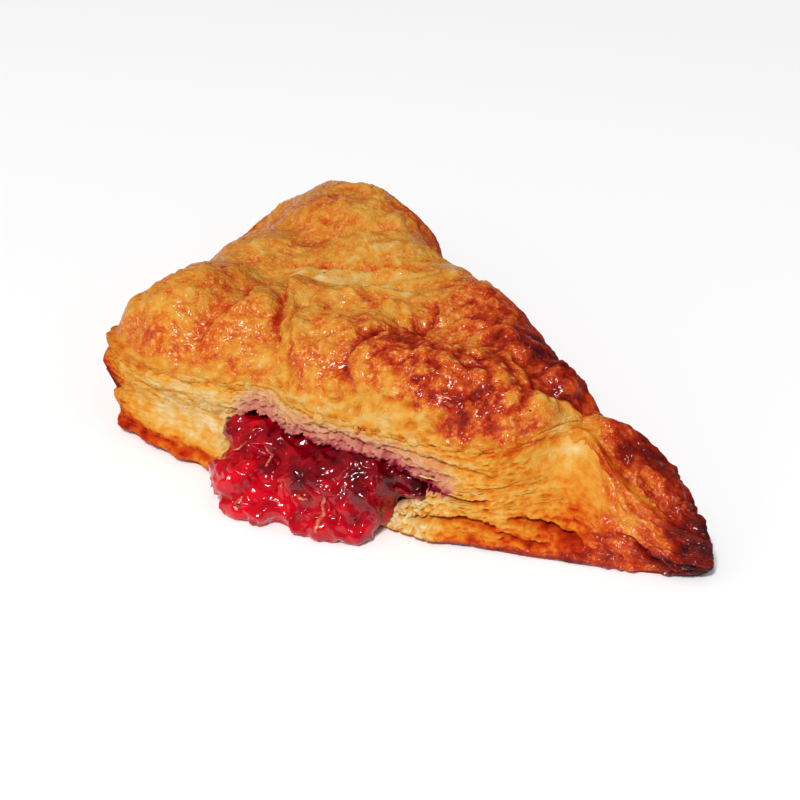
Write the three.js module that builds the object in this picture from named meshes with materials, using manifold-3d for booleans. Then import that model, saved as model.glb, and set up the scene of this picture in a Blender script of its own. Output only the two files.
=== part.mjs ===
// A baked turnover: one triangle of puff pastry with a bowed, opened cut edge, and the berry filling that has
// pushed out of it. Millimetres, +Z up. The origin lies on the flat base, under the middle of the triangle.
// +X runs along the open cut edge towards the thin tip, +Y towards the far tip at the other end of the fold.
import * as THREE from "three";
import { mergeVertices } from "three/addons/utils/BufferGeometryUtils.js";
import Module from "manifold-3d";

const wasm = await Module();
wasm.setup();

// ---- Driving dimensions

const OPEN_EDGE = 140; // the cut edge that has opened, along X, measured to the triangle's sharp corners
const SIDE_EDGE = 108; // the other cut edge, along Y
const CORNER = { x: -47, y: -38.5 }; // where the two cut edges meet
const BELLY = 11.5; // how far the open edge bows out at the base
const SIDE_BOW = 2; // how far the side edge bows out
const CORNER_ROUNDING = 3.4; // width of the filter that rounds the plan's corners
const NEAR_RIM = 21; // height of the crust's rim over the open edge
const SIDE_RIM = 21; // the same over the other cut edge
const FOLD_RIM = 10; // height where the fold's round side turns into the top
const DOME = 36.5; // height of the plateau in the middle
const TIP_RIM = 9; // height of the pastry at the thin tip
const TIP_STEP = 4.5; // how far the thick part rises over the thin tip
const SEAM = 11; // height of the seam between the upper and the lower dough
const LEAVES = 5; // leaves of dough that show in the height of a cut edge
const LEAF_DEPTH = 0.6; // how far the leaves stand out and fall back
const CLEARANCE = 0.4; // room between the filling and the dough round it

const TIP = { x: CORNER.x + OPEN_EDGE, y: CORNER.y };
const FAR_TIP = { x: CORNER.x, y: CORNER.y + SIDE_EDGE };

// The ridge line that the surface's columns run to, from the middle of the thick part to near the thin tip.
const SPINE = { from: { x: -14, y: -3 }, to: { x: 83, y: -34.5 } };

// Resolution of the dough's surface
const LONG_COLUMNS = 54; // along the open edge, and as many along the fold
const SIDE_COLUMNS = 28;
const WALL_ROWS = 18;
const TOP_RINGS = 15;

// The crust's rim stands in from the base by this much along the open edge: place, half length, amount.
const RIM_INSET = 2.5;
const RIM_SHAPE = [
  { name: "dent over the mouth", x: -6, half: 6, inset: 3.5 },
  { name: "overhang at the corner", x: -36, half: 12, inset: -4 },
  { name: "saddle behind the tip", x: 61, half: 10, inset: 13 },
];
const CORNER_LEAN = 4.6; // how far the upper dough leans out over the corner, on the side edge
const TONGUE = { x: -33, half: 13, depth: 8 }; // where the lower dough peels away under the corner

// Where the fold swells out (+) or is drawn in (-): place along the fold from the far tip, half length, amount.
const FOLD_SWELLS = [
  { name: "far swell", along: 54, half: 12, out: 3.5 },
  { name: "middle swell", along: 108, half: 13, out: 2.5 },
  { name: "waist", along: 142, half: 5.5, out: -3.5 },
  { name: "tip swell", along: 158, half: 9, out: 5 },
];

// The puffed pillows of the crust: middle, half lengths, turn in degrees, height over the dome.
const PILLOWS = [
  { name: "far puff", x: -18, y: 28, rx: 17.5, ry: 15, turn: 0, rise: 3.6 },
  { name: "back left", x: -32, y: 4, rx: 13, ry: 17, turn: 0, rise: 0.4 },
  { name: "back middle", x: -6, y: 9, rx: 17, ry: 13, turn: 0, rise: 0.8 },
  { name: "brow", x: 0, y: -17, rx: 19, ry: 7, turn: 15, rise: 1.8 },
  { name: "middle", x: 9, y: -29, rx: 13, ry: 8, turn: 10, rise: 1.8 },
  { name: "front", x: 27, y: -37, rx: 13, ry: 11, turn: 0, rise: 2.8 },
  { name: "front right", x: 41, y: -32, rx: 11, ry: 10, turn: -20, rise: 1.6 },
  { name: "fold middle", x: 25, y: -3, rx: 16, ry: 11, turn: -38, rise: 1.8 },
  { name: "fold right", x: 43, y: -17, rx: 11, ry: 8, turn: -38, rise: 0.9 },
  { name: "shoulder", x: 52, y: -21, rx: 7, ry: 7, turn: 0, rise: 1.4 },
  { name: "left", x: -17, y: -29, rx: 12, ry: 13, turn: 0, rise: 1.5 },
  { name: "corner", x: -35, y: -27, rx: 12, ry: 15, turn: 0, rise: 3.6 },
  { name: "front left", x: -2, y: -37, rx: 9, ry: 9, turn: 0, rise: 0.6 },
  { name: "tip band", x: 68, y: -26, rx: 9, ry: 7, turn: -38, rise: 2.4 },
  { name: "tip middle", x: 77, y: -31, rx: 7, ry: 6, turn: -38, rise: 1.4 },
  { name: "tip end", x: 85, y: -37, rx: 6, ry: 6, turn: 0, rise: 0.9 },
];
const PILLOW_DROP = 3; // how far a pillow falls from its middle to its edge
const CREASE = -2.4; // the lowest that the creases between pillows lie

// The lumps of filling outside the mouth: middle and half sizes.
const LUMPS = [
  { name: "under the lid, left", at: [-6, -44, 11], half: [9, 6, 4.5] },
  { name: "under the lid, right", at: [18, -46, 10.5], half: [15, 7, 4.5] },
  { name: "left", at: [-6.5, -51, 6], half: [8.5, 8, 6.6] },
  { name: "left foot", at: [0, -52, 2.5], half: [10, 7.5, 5.5] },
  { name: "middle", at: [10, -51, 7], half: [9, 7.5, 6.4] },
  { name: "middle foot", at: [13, -53, 2], half: [9.5, 7, 5.5] },
  { name: "right", at: [24, -49.5, 6], half: [8.5, 7, 7.2] },
  { name: "right foot", at: [20, -52.5, 2], half: [7, 7, 5] },
];
// The filling in the closed pocket, from the mouth to the middle of the pastry.
const POCKET = { at: [10, -22, 10.6], half: [34, 29, 5.2] };
// The gap under the lid where the dough has lifted off the filling, at the left end of the mouth.
const GAPE = { at: [-10, -44, 13.2], half: [13, 9, 2.2] };

// ---- Shape functions

const bell = (t) => Math.exp(-t * t);
const clamp01 = (t) => Math.min(1, Math.max(0, t));
const smoothStep = (t) => clamp01(t) ** 2 * (3 - 2 * clamp01(t));
const mix = (a, b, t) => a + (b - a) * t;
const softMax = (values, k) => k * Math.log(values.reduce((sum, v) => sum + Math.exp(v / k), 0));
const softMin = (values, k) =>
  -softMax(
    values.map((v) => -v),
    k,
  );

const foldLength = Math.hypot(OPEN_EDGE, SIDE_EDGE);
const foldNormal = { x: SIDE_EDGE / foldLength, y: OPEN_EDGE / foldLength };
const swellAt = (along) => FOLD_SWELLS.reduce((sum, s) => sum + s.out * bell((along - s.along) / s.half), 0);
const openEdgeY = (x) => CORNER.y - BELLY * (1 - ((2 * (x - CORNER.x)) / OPEN_EDGE - 1) ** 2);
const sideEdgeX = (y) => CORNER.x - SIDE_BOW * (1 - ((2 * (y - CORNER.y)) / SIDE_EDGE - 1) ** 2);
const rimInset = (x) => RIM_SHAPE.reduce((sum, r) => sum + r.inset * bell((x - r.x) / r.half), RIM_INSET);
const sideInset = (y) => 1.8 - CORNER_LEAN * bell((y - CORNER.y - 3) / 15);

// How far inside the crust's rim a point lies, from each edge: open edge, fold, side edge.
function insideRim(x, y) {
  const along = (x - FAR_TIP.x) * foldNormal.y - (y - FAR_TIP.y) * foldNormal.x;
  const out = (x - TIP.x) * foldNormal.x + (y - TIP.y) * foldNormal.y;
  return [y - openEdgeY(x) - rimInset(x), swellAt(along) - 1 - out, x - sideEdgeX(y) - sideInset(y)];
}

// Height of the crust's rim over each edge, in the same order.
function rimHeights(x, y) {
  const dent = 1.5 * bell((x + 6) / 8) + 1.5 * bell((x - 57) / 9);
  const toTip = (NEAR_RIM - TIP_RIM) * smoothStep((x - 60) / 28);
  const toFarTip = 4 * smoothStep((y - 34) / 30);
  return [NEAR_RIM + dent - toTip, FOLD_RIM, SIDE_RIM - toFarTip];
}

// The pillows' surface over the dome.
function pillowRise(x, y) {
  const tops = PILLOWS.map((p) => {
    const turn = THREE.MathUtils.degToRad(p.turn);
    const dx = (x - p.x) * Math.cos(turn) + (y - p.y) * Math.sin(turn);
    const dy = (y - p.y) * Math.cos(turn) - (x - p.x) * Math.sin(turn);
    return p.rise - PILLOW_DROP * ((dx / p.rx) ** 2 + (dy / p.ry) ** 2);
  });
  return softMax([...tops, CREASE], 0.45);
}

// Height of the crust over a point of the plan, away from its rim.
function domeHeight(x, y) {
  const [near, fold, side] = insideRim(x, y).map((d) => Math.max(0, d));
  const rims = rimHeights(x, y);
  const toTip = Math.hypot(x - TIP.x, y - TIP.y);
  const dome = softMin(
    [
      rims[0] + 16 * (1 - Math.exp(-near / 9)),
      FOLD_RIM + 23 * Math.sqrt(1 - (1 - clamp01(fold / 15)) ** 2),
      rims[2] + 16 * (1 - Math.exp(-side / 9)),
      TIP_RIM + 0.38 * toTip + TIP_STEP * smoothStep((toTip - 33) / 10),
      DOME,
    ],
    1.8,
  );
  return dome + pillowRise(x, y);
}

// The plan's outline as closely spaced points, anticlockwise from the corner, with each point's share in the
// open edge, the fold and the side edge. A filter along the outline rounds the corners and blends the shares.
const OUTLINE_STEP = 0.5;
function makeOutline() {
  const counts = [OPEN_EDGE, foldLength, SIDE_EDGE].map((length) => Math.round(length / OUTLINE_STEP));
  const rows = [];
  for (let i = 0; i < counts[0]; i += 1) {
    const x = CORNER.x + (OPEN_EDGE * i) / counts[0];
    rows.push([x, openEdgeY(x), 1, 0, 0]);
  }
  for (let i = 0; i < counts[1]; i += 1) {
    const t = 1 - i / counts[1];
    const out = swellAt(foldLength * t);
    const x = mix(FAR_TIP.x, TIP.x, t) + out * foldNormal.x;
    rows.push([x, mix(FAR_TIP.y, TIP.y, t) + out * foldNormal.y, 0, 1, 0]);
  }
  for (let i = 0; i < counts[2]; i += 1) {
    const y = FAR_TIP.y - (SIDE_EDGE * i) / counts[2];
    rows.push([sideEdgeX(y), y, 0, 0, 1]);
  }
  const sigma = CORNER_ROUNDING / OUTLINE_STEP;
  const reach = Math.ceil(3 * sigma);
  const total = rows.length;
  const smooth = rows.map((_, i) => {
    const sum = [0, 0, 0, 0, 0];
    let weight = 0;
    for (let j = -reach; j <= reach; j += 1) {
      const w = Math.exp((-j * j) / (2 * sigma * sigma));
      const row = rows[(i + j + total) % total];
      row.forEach((value, k) => (sum[k] += w * value));
      weight += w;
    }
    return sum.map((value) => value / weight);
  });
  return { counts, smooth };
}
const outline = makeOutline();

// The outline at a place given by its position in the list of points.
function outlineAt(position) {
  const total = outline.smooth.length;
  const i = Math.floor(position);
  const at = (k) => outline.smooth[((k % total) + total) % total];
  const [x, y, near, fold, side] = at(i).map((v, k) => mix(v, at(i + 1)[k], position - i));
  const dx = at(i + 2)[0] - at(i - 2)[0];
  const dy = at(i + 2)[1] - at(i - 2)[1];
  const length = Math.hypot(dx, dy);
  return { x, y, shares: [near, fold, side], out: { x: dy / length, y: -dx / length } };
}
const mixed = (shares, values) => shares.reduce((sum, w, i) => sum + w * values[i], 0);

// How far the wall stands out (+) or falls back (-) at height share v, over a point of the outline.
function wallRelief(v, p) {
  const [near, fold, side] = p.shares;
  const cut = near + side;
  const wave = 0.25 * Math.sin(p.x / 9) + 0.25 * Math.sin(p.y / 7 + 1);
  const leaf = LEAF_DEPTH * Math.sin(2 * Math.PI * (v * LEAVES + wave)) * bell((v - 0.5) / 0.45);
  const foot = -1.1 * (1 - clamp01(v / 0.12)) ** 2;
  const groove = -1.5 * bell((v - SEAM / NEAR_RIM) / 0.06);
  const peel = -TONGUE.depth * bell((p.x - TONGUE.x) / TONGUE.half) * bell((v - 0.5) / 0.2);
  const round = -3.5 * (1 - clamp01(v / 0.7)) ** 2;
  return cut * (leaf + foot + groove) + near * peel + fold * round;
}

// ---- Solids

// The columns of the dough's surface. Each has a foot on the outline, a place on the crust's rim and a place on
// the spine. A column of the open edge and its partner on the fold meet in the same place on the spine.
function doughColumns() {
  const [near, fold, side] = outline.counts;
  const spots = [];
  for (let i = 0; i <= LONG_COLUMNS; i += 1) {
    spots.push({ position: (near * i) / LONG_COLUMNS, spine: i });
  }
  for (let i = LONG_COLUMNS - 1; i >= 0; i -= 1) {
    spots.push({ position: near + fold * (1 - i / LONG_COLUMNS), spine: i });
  }
  for (let i = 1; i < SIDE_COLUMNS; i += 1) {
    spots.push({ position: near + fold + (side * i) / SIDE_COLUMNS, spine: 0 });
  }
  return spots.map(({ position, spine }) => {
    const foot = outlineAt(position);
    const inset = mixed(foot.shares, [rimInset(foot.x), 1, sideInset(foot.y)]);
    const rim = { x: foot.x - inset * foot.out.x, y: foot.y - inset * foot.out.y };
    const t = spine / LONG_COLUMNS;
    const end = { x: mix(SPINE.from.x, SPINE.to.x, t), y: mix(SPINE.from.y, SPINE.to.y, t) };
    return { foot, rim, end, spine, height: mixed(foot.shares, rimHeights(rim.x, rim.y)) };
  });
}

// A point of the dough's wall, at height share v, and of its top, at share a of the way from rim to spine.
function wallPoint({ foot, rim, height }, v) {
  const relief = wallRelief(v, foot);
  return [mix(foot.x, rim.x, v) + relief * foot.out.x, mix(foot.y, rim.y, v) + relief * foot.out.y, height * v];
}
const RIM_BLEND = 5; // width over which the crust leaves its rim
function topPoint({ rim, end, height }, a) {
  const x = mix(rim.x, end.x, a);
  const y = mix(rim.y, end.y, a);
  const depth = Math.hypot(x - rim.x, y - rim.y);
  return [x, y, mix(height, domeHeight(x, y), smoothStep(depth / RIM_BLEND))];
}

// A three.js geometry as a manifold-3d solid.
function solidOf(geometry) {
  const bare = geometry.clone();
  bare.deleteAttribute("normal");
  bare.deleteAttribute("uv");
  const merged = mergeVertices(bare, 1e-4);
  return new wasm.Manifold(
    new wasm.Mesh({
      numProp: 3,
      vertProperties: new Float32Array(merged.attributes.position.array),
      triVerts: new Uint32Array(merged.index.array),
    }),
  );
}

// A manifold-3d solid as a named three.js mesh.
function meshOf(solid, name, material) {
  const { vertProperties, triVerts } = solid.getMesh();
  const geometry = new THREE.BufferGeometry();
  geometry.setAttribute("position", new THREE.Float32BufferAttribute(vertProperties, 3));
  geometry.setIndex(Array.from(triVerts));
  geometry.computeVertexNormals();
  const mesh = new THREE.Mesh(geometry, material);
  mesh.name = name;
  return mesh;
}

// The whole pastry with no pocket: rings of points up the wall and over the top, closed along the spine above
// and below.
function doughSolid() {
  const columns = doughColumns();
  const rings = [];
  for (let row = 0; row <= WALL_ROWS; row += 1) {
    rings.push(columns.map((c) => wallPoint(c, row / WALL_ROWS)));
  }
  for (let ring = 1; ring < TOP_RINGS; ring += 1) {
    rings.push(columns.map((c) => topPoint(c, (ring / TOP_RINGS) ** 1.15)));
  }
  const n = columns.length;
  const points = rings.flat();
  const topSpine = points.length;
  const lowSpine = topSpine + LONG_COLUMNS + 1;
  for (let i = 0; i <= LONG_COLUMNS; i += 1) points.push(topPoint(columns[i], 1));
  for (let i = 0; i <= LONG_COLUMNS; i += 1) points.push([columns[i].end.x, columns[i].end.y, 0]);
  const at = (ring, column) => {
    const c = column % n;
    if (ring < 0) return lowSpine + columns[c].spine;
    if (ring >= rings.length) return topSpine + columns[c].spine;
    return ring * n + c;
  };
  const faces = [];
  const face = (a, b, c) => {
    if (a !== b && b !== c && c !== a) faces.push(a, b, c);
  };
  for (let r = -1; r < rings.length; r += 1) {
    for (let c = 0; c < n; c += 1) {
      face(at(r, c), at(r, c + 1), at(r + 1, c + 1));
      face(at(r, c), at(r + 1, c + 1), at(r + 1, c));
    }
  }
  const geometry = new THREE.BufferGeometry();
  geometry.setAttribute("position", new THREE.Float32BufferAttribute(points.flat(), 3));
  geometry.setIndex(faces);
  return solidOf(geometry);
}

// An egg-shaped lump with a few flat-sided bumps, grown by extra all round.
function lump({ at, half }, extra, detail = 3) {
  const geometry = mergeVertices(
    (() => {
      const ball = new THREE.IcosahedronGeometry(1, detail);
      ball.deleteAttribute("normal");
      ball.deleteAttribute("uv");
      return ball;
    })(),
    1e-4,
  );
  const position = geometry.attributes.position;
  for (let i = 0; i < position.count; i += 1) {
    const p = new THREE.Vector3().fromBufferAttribute(position, i).normalize();
    const bump =
      1 + 0.06 * Math.sin(5 * p.x + at[0]) * Math.sin(6 * p.y + at[1]) * Math.sin(5 * p.z + at[2]);
    position.setXYZ(
      i,
      at[0] + p.x * (half[0] * bump + extra),
      at[1] + p.y * (half[1] * bump + extra),
      at[2] + p.z * (half[2] * bump + extra),
    );
  }
  return solidOf(geometry);
}

// The filling: the part in the pocket, with the lumps outside the mouth, above the surface it rests on.
function fillingSolid(extra) {
  const parts = [lump(POCKET, extra, 5), ...LUMPS.map((l) => lump(l, extra))];
  const joined = parts.reduce((all, next) => all.add(next));
  return joined.trimByPlane([0, 0, 1], extra ? -1 : 0);
}

const filling = fillingSolid(0);
const pastry = doughSolid().subtract(fillingSolid(CLEARANCE)).subtract(lump(GAPE, 0, 4));

// ---- Materials and the model

const crustFinish = new THREE.MeshStandardMaterial({ color: 0xd2802c, roughness: 0.5, metalness: 0 });
const berryFinish = new THREE.MeshStandardMaterial({ color: 0xa80d1c, roughness: 0.15, metalness: 0 });

const turnover = new THREE.Group();
turnover.add(meshOf(pastry, "pastry", crustFinish));
turnover.add(meshOf(filling, "filling", berryFinish));

export default turnover;
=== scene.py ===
# %% [markdown]
# # A baked turnover
#
# A turnover is a square of puff pastry folded on its diagonal over a spoonful of fruit. In the oven the
# dough puffs into hundreds of thin leaves, the egg-washed top blisters and browns, and here the filling has
# pushed the open edge apart. This lesson builds it from a few rules for its outline and its height, in the
# same frame as the solid model, and then gives each surface its own relief and its own finish.

# %% Load the frame
import math
from itertools import product

import bmesh
import bpy
import numpy as np
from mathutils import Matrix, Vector


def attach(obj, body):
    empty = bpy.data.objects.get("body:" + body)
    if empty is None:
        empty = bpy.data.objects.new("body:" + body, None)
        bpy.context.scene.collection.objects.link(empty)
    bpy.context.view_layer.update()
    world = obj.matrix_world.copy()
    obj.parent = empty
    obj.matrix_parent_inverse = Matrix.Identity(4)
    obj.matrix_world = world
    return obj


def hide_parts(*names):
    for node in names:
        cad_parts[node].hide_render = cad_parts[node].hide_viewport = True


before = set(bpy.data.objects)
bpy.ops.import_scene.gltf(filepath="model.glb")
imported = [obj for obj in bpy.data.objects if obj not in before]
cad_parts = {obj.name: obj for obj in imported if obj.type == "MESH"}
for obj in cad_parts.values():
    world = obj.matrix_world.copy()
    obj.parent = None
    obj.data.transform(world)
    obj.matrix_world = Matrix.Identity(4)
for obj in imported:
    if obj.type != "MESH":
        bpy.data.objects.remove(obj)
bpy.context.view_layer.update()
MM = 0.001

# %% [markdown]
# ## Small tools
#
# Dough has no straight lines, so most shapes below are sums of soft bumps and of noise. Gradient noise
# gives each corner of a grid a random slope and blends between them. It takes a seed, so that every run
# gives the same pastry. Its size is the width of its features in millimetres.


# %% Bumps, steps and noise
def bell(t):
    return np.exp(-t * t)


def hump(t, middle, half):
    return bell((t - middle) / half)


def clamp01(t):
    return np.clip(t, 0.0, 1.0)


def smooth_step(t):
    t = clamp01(t)
    return t * t * (3 - 2 * t)


def rise(t, start, length):
    """0 up to `start`, then a smooth climb to 1."""
    return smooth_step((t - start) / length)


def fall(t, start, length):
    """1 up to `start`, then a smooth slope to 0."""
    return 1 - rise(t, start, length)


def table_at(x, points):
    """Height at x of the straight lines between points (x, height)."""
    return np.interp(x, *np.transpose(points))


def mix(a, b, t):
    return a + (b - a) * t


def soft_max(values, k):
    return k * np.log(sum(np.exp(np.asarray(v) / k) for v in values))


def soft_min(values, k):
    return -soft_max([-np.asarray(v) for v in values], k)


SLOPES = np.array([(a, b, 0) for a in (-1, 1) for b in (-1, 1)], float)
SLOPES = np.vstack([SLOPES, SLOPES[:, [0, 2, 1]], SLOPES[:, [2, 0, 1]]])


def random01(ix, iy, iz, seed):
    """A random number from 0 to 1 for each whole-number grid place."""
    h = (ix * 374761393 + iy * 668265263 + iz * 1442695041 + seed * 1274126177) & 0xFFFFFFFF
    h = ((h ^ (h >> 13)) * 1274126177) & 0xFFFFFFFF
    h = ((h ^ (h >> 16)) * 2246822519) & 0xFFFFFFFF
    return ((h ^ (h >> 15)) & 0xFFFFFF) / float(0x1000000)


def noise(x, y, z, size, seed):
    """Smooth noise, mostly from -1 to 1, with features about `size` millimetres across."""
    place = [np.asarray(c, float) / size for c in np.broadcast_arrays(x, y, z)]
    corner = [np.floor(c).astype(np.int64) for c in place]
    part = [c - k for c, k in zip(place, corner)]
    fade = [f * f * f * (f * (6 * f - 15) + 10) for f in part]
    total = np.zeros(place[0].shape)
    for step in product((0, 1), repeat=3):
        slope = SLOPES[(random01(*[c + d for c, d in zip(corner, step)], seed) * 12).astype(int)]
        weight, height = 1.0, 0.0
        for axis, d in enumerate(step):
            weight = weight * (fade[axis] if d else 1 - fade[axis])
            height = height + slope[..., axis] * (part[axis] - d)
        total += weight * height
    return 1.5 * total


def waves(x, y, z, *parts):
    """A sum of noises, each given by its gain, size and seed."""
    return sum(gain * noise(x, y, z, size, seed) for gain, size, seed in parts)


def spots(x, y, z, size, seed, level, gain):
    """Islands where noise comes out over `level`, from 0 at their shores up to 1."""
    return clamp01(gain * (noise(x, y, z, size, seed) - level))


def rough(x, y, z, size, seed, octaves=3):
    """Noise with ever finer detail added to it."""
    total, weight = 0.0, 0.0
    for octave in range(octaves):
        total = total + noise(x, y, z, size / 2**octave, seed + 17 * octave) / 2**octave
        weight += 1 / 2**octave
    return total / weight


def rounded(points, rounds=3):
    """The same line with its corners cut again and again, which leaves a curve."""
    line = np.asarray(points, float)
    for _ in range(rounds):
        cuts = [mix(line[:-1], line[1:], 0.25), mix(line[:-1], line[1:], 0.75)]
        line = np.vstack([line[:1], np.stack(cuts, axis=1).reshape(-1, 2), line[-1:]])
    return line


def line_place(x, y, points):
    """Distance to a curve, positive on its left side, and the place along it from 0 to 1."""
    points = rounded(points)
    best, side, share = np.full(x.shape, 1e9), np.ones(x.shape), np.zeros(x.shape)
    lengths = [math.dist(a, b) for a, b in zip(points[:-1], points[1:])]
    passed = 0.0
    for (ax, ay), (bx, by), length in zip(points[:-1], points[1:], lengths):
        ux, uy = (bx - ax) / length, (by - ay) / length
        t = np.clip((x - ax) * ux + (y - ay) * uy, 0, length)
        dx, dy = x - ax - t * ux, y - ay - t * uy
        d = np.hypot(dx, dy)
        closer = d < best
        best = np.where(closer, d, best)
        side = np.where(closer, np.where(ux * dy - uy * dx < 0, -1.0, 1.0), side)
        share = np.where(closer, (passed + t) / sum(lengths), share)
        passed += length
    return best * side, share


# %% [markdown]
# ## The plan of the pastry
#
# Seen from above, the pastry is a right-angled triangle. One short side is the cut edge that has opened,
# the other is a cut edge that stayed shut, and the long side is the fold. All three are slightly bowed or
# swollen, and the corners are rounded by a filter that runs along the outline. The same filter blends each
# point's share in the three sides, so that no rule ever changes with a jump.

# %% The outline
OPEN_EDGE, SIDE_EDGE = 140.0, 108.0
CORNER = (-47.0, -38.5)
BELLY, SIDE_BOW, CORNER_ROUNDING = 11.5, 2.0, 3.4
TIP = (CORNER[0] + OPEN_EDGE, CORNER[1])
FAR_TIP = (CORNER[0], CORNER[1] + SIDE_EDGE)
FOLD_LENGTH = math.hypot(OPEN_EDGE, SIDE_EDGE)
FOLD_NORMAL = (SIDE_EDGE / FOLD_LENGTH, OPEN_EDGE / FOLD_LENGTH)
# place along the fold from the far tip, half length, how far it swells out
FOLD_SWELLS = [(54, 12, 3.5), (108, 13, 1.7), (142, 5.5, -3.5), (158, 9, 4.4)]
OUTLINE_STEP = 0.25


def swell_at(along):
    return sum(out * hump(along, place, half) for place, half, out in FOLD_SWELLS)


def open_edge_y(x):
    return CORNER[1] - BELLY * (1 - (2 * (x - CORNER[0]) / OPEN_EDGE - 1) ** 2)


def side_edge_x(y):
    wave = 1.5 * noise(0, y, 0, 15, 22) * rise(y, -30, 12)
    return CORNER[0] - SIDE_BOW * (1 - (2 * (y - CORNER[1]) / SIDE_EDGE - 1) ** 2) + wave


def make_outline():
    """The outline's points, anticlockwise from the corner, with their shares in open edge, fold and side."""
    counts = [round(length / OUTLINE_STEP) for length in (OPEN_EDGE, FOLD_LENGTH, SIDE_EDGE)]
    x = CORNER[0] + OPEN_EDGE * np.arange(counts[0]) / counts[0]
    t = 1 - np.arange(counts[1]) / counts[1]
    out = swell_at(FOLD_LENGTH * t)
    y = FAR_TIP[1] - SIDE_EDGE * np.arange(counts[2]) / counts[2]
    xs = [x, mix(FAR_TIP[0], TIP[0], t) + out * FOLD_NORMAL[0], side_edge_x(y)]
    ys = [open_edge_y(x), mix(FAR_TIP[1], TIP[1], t) + out * FOLD_NORMAL[1], y]
    shares = [np.repeat(np.eye(3)[i][None], n, axis=0) for i, n in enumerate(counts)]
    rows = np.column_stack([np.concatenate(xs), np.concatenate(ys), np.concatenate(shares)])
    reach = math.ceil(3 * CORNER_ROUNDING / OUTLINE_STEP)
    kernel = bell(np.arange(-reach, reach + 1) * OUTLINE_STEP / CORNER_ROUNDING / math.sqrt(2))
    padded = np.concatenate([rows[-reach:], rows, rows[:reach]])
    smooth = [np.convolve(padded[:, k], kernel / kernel.sum(), "valid") for k in range(5)]
    return counts, np.column_stack(smooth)


COUNTS, OUTLINE = make_outline()


def outline_at(position):
    """Points of the outline, their shares and their outward directions, for places in the list of points."""
    total = len(OUTLINE)
    i = np.floor(position).astype(int)
    part = (position - i)[:, None]
    rows = mix(OUTLINE[i % total], OUTLINE[(i + 1) % total], part)
    ahead = mix(OUTLINE[(i + 4) % total], OUTLINE[(i + 5) % total], part)
    behind = mix(OUTLINE[(i - 4) % total], OUTLINE[(i - 3) % total], part)
    along = ahead[:, :2] - behind[:, :2]
    along /= np.hypot(along[:, 0], along[:, 1])[:, None]
    return rows[:, :2], rows[:, 2:], np.column_stack([along[:, 1], -along[:, 0]])


print("outline points:", len(OUTLINE), "fold length:", round(FOLD_LENGTH, 1))

# %% [markdown]
# ## The height of the crust
#
# The crust starts at a rim over each edge and rises to a plateau. Close to each edge a curve of its own
# limits the height, and a soft minimum of those curves gives the dome. On the dome sit the pillows, the
# places where steam lifted the dough: each is an upturned bowl, and a soft maximum joins them with creases
# in between.

# %% Rim, dome and pillows
NEAR_RIM, SIDE_RIM, FOLD_RIM, TIP_RIM = 21.0, 21.0, 10.0, 9.0
DOME, TIP_SLOPE, TIP_STEP = 36.5, 0.38, 4.5
# how far the crust climbs from its rim and from the fold, and within what distance
RIM_CLIMB, RIM_REACH, FOLD_CLIMB, FOLD_REACH = 16, 9, 23, 15
RIM_INSET, CORNER_LEAN = 2.5, 4.6
# place along X, half length, how far the rim stands in: dent over the mouth, overhang at the corner, saddle
RIM_SHAPE = [(-6, 6, 3.5), (-36, 12, -4.0), (61, 10, 13.0)]
SPINE_FROM, SPINE_TO = np.array([-14.0, -3.0]), np.array([83.0, -34.5])
# x, y, half lengths, turn in degrees, height over the dome
PILLOWS = {
    "far puff": (-18, 28, 17.5, 15, 0, 3.6),
    "back left": (-32, 4, 13, 17, 0, 0.4),
    "back middle": (-6, 9, 17, 13, 0, 0.8),
    "brow": (0, -17, 19, 7, 15, 1.8),
    "middle": (9, -29, 13, 8, 10, 1.8),
    "front": (27, -37, 13, 11, 0, 2.8),
    "front right": (41, -32, 11, 10, -20, 1.6),
    "fold middle": (25, -3, 16, 11, -38, 1.8),
    "fold right": (43, -17, 11, 8, -38, 0.9),
    "shoulder": (52, -21, 7, 7, 0, 1.4),
    "left": (-17, -29, 12, 13, 0, 1.5),
    "corner": (-35, -27, 12, 15, 0, 3.6),
    "front left": (-2, -37, 9, 9, 0, 0.6),
    "tip band": (68, -26, 9, 7, -38, 2.4),
    "tip middle": (77, -31, 7, 6, -38, 1.4),
    "tip end": (85, -37, 6, 6, 0, 0.9),
}
PILLOW_DROP, CREASE = 3.0, -2.4


def rim_inset(x):
    return RIM_INSET + sum(inset * hump(x, place, half) for place, half, inset in RIM_SHAPE)


def side_inset(y):
    return 1.8 - CORNER_LEAN * bell((y - CORNER[1] - 3) / 15)


def inside_rim(x, y):
    """How far inside the crust's rim a point lies, from the open edge, the fold and the side edge."""
    along = (x - FAR_TIP[0]) * FOLD_NORMAL[1] - (y - FAR_TIP[1]) * FOLD_NORMAL[0]
    out = (x - TIP[0]) * FOLD_NORMAL[0] + (y - TIP[1]) * FOLD_NORMAL[1]
    return y - open_edge_y(x) - rim_inset(x), swell_at(along) - 1 - out, x - side_edge_x(y) - side_inset(y)


def rim_heights(x, y):
    lift = 1.5 * hump(x, -6, 8) + 1.5 * hump(x, 57, 9)
    near = NEAR_RIM + lift - (NEAR_RIM - TIP_RIM) * rise(x, 60, 28)
    side = SIDE_RIM - 4 * rise(y, 34, 30) + 1.8 * noise(0, y, 0, 17, 21) * rise(y, -30, 12)
    return near, side


def pillow_rise(x, y):
    tops = [np.full(np.shape(x), CREASE)]
    for px, py, rx, ry, turn, rise in PILLOWS.values():
        c, s = math.cos(math.radians(turn)), math.sin(math.radians(turn))
        dx, dy = (x - px) * c + (y - py) * s, (y - py) * c - (x - px) * s
        tops.append(rise - PILLOW_DROP * ((dx / rx) ** 2 + (dy / ry) ** 2))
    return soft_max(tops, 0.45)


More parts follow.
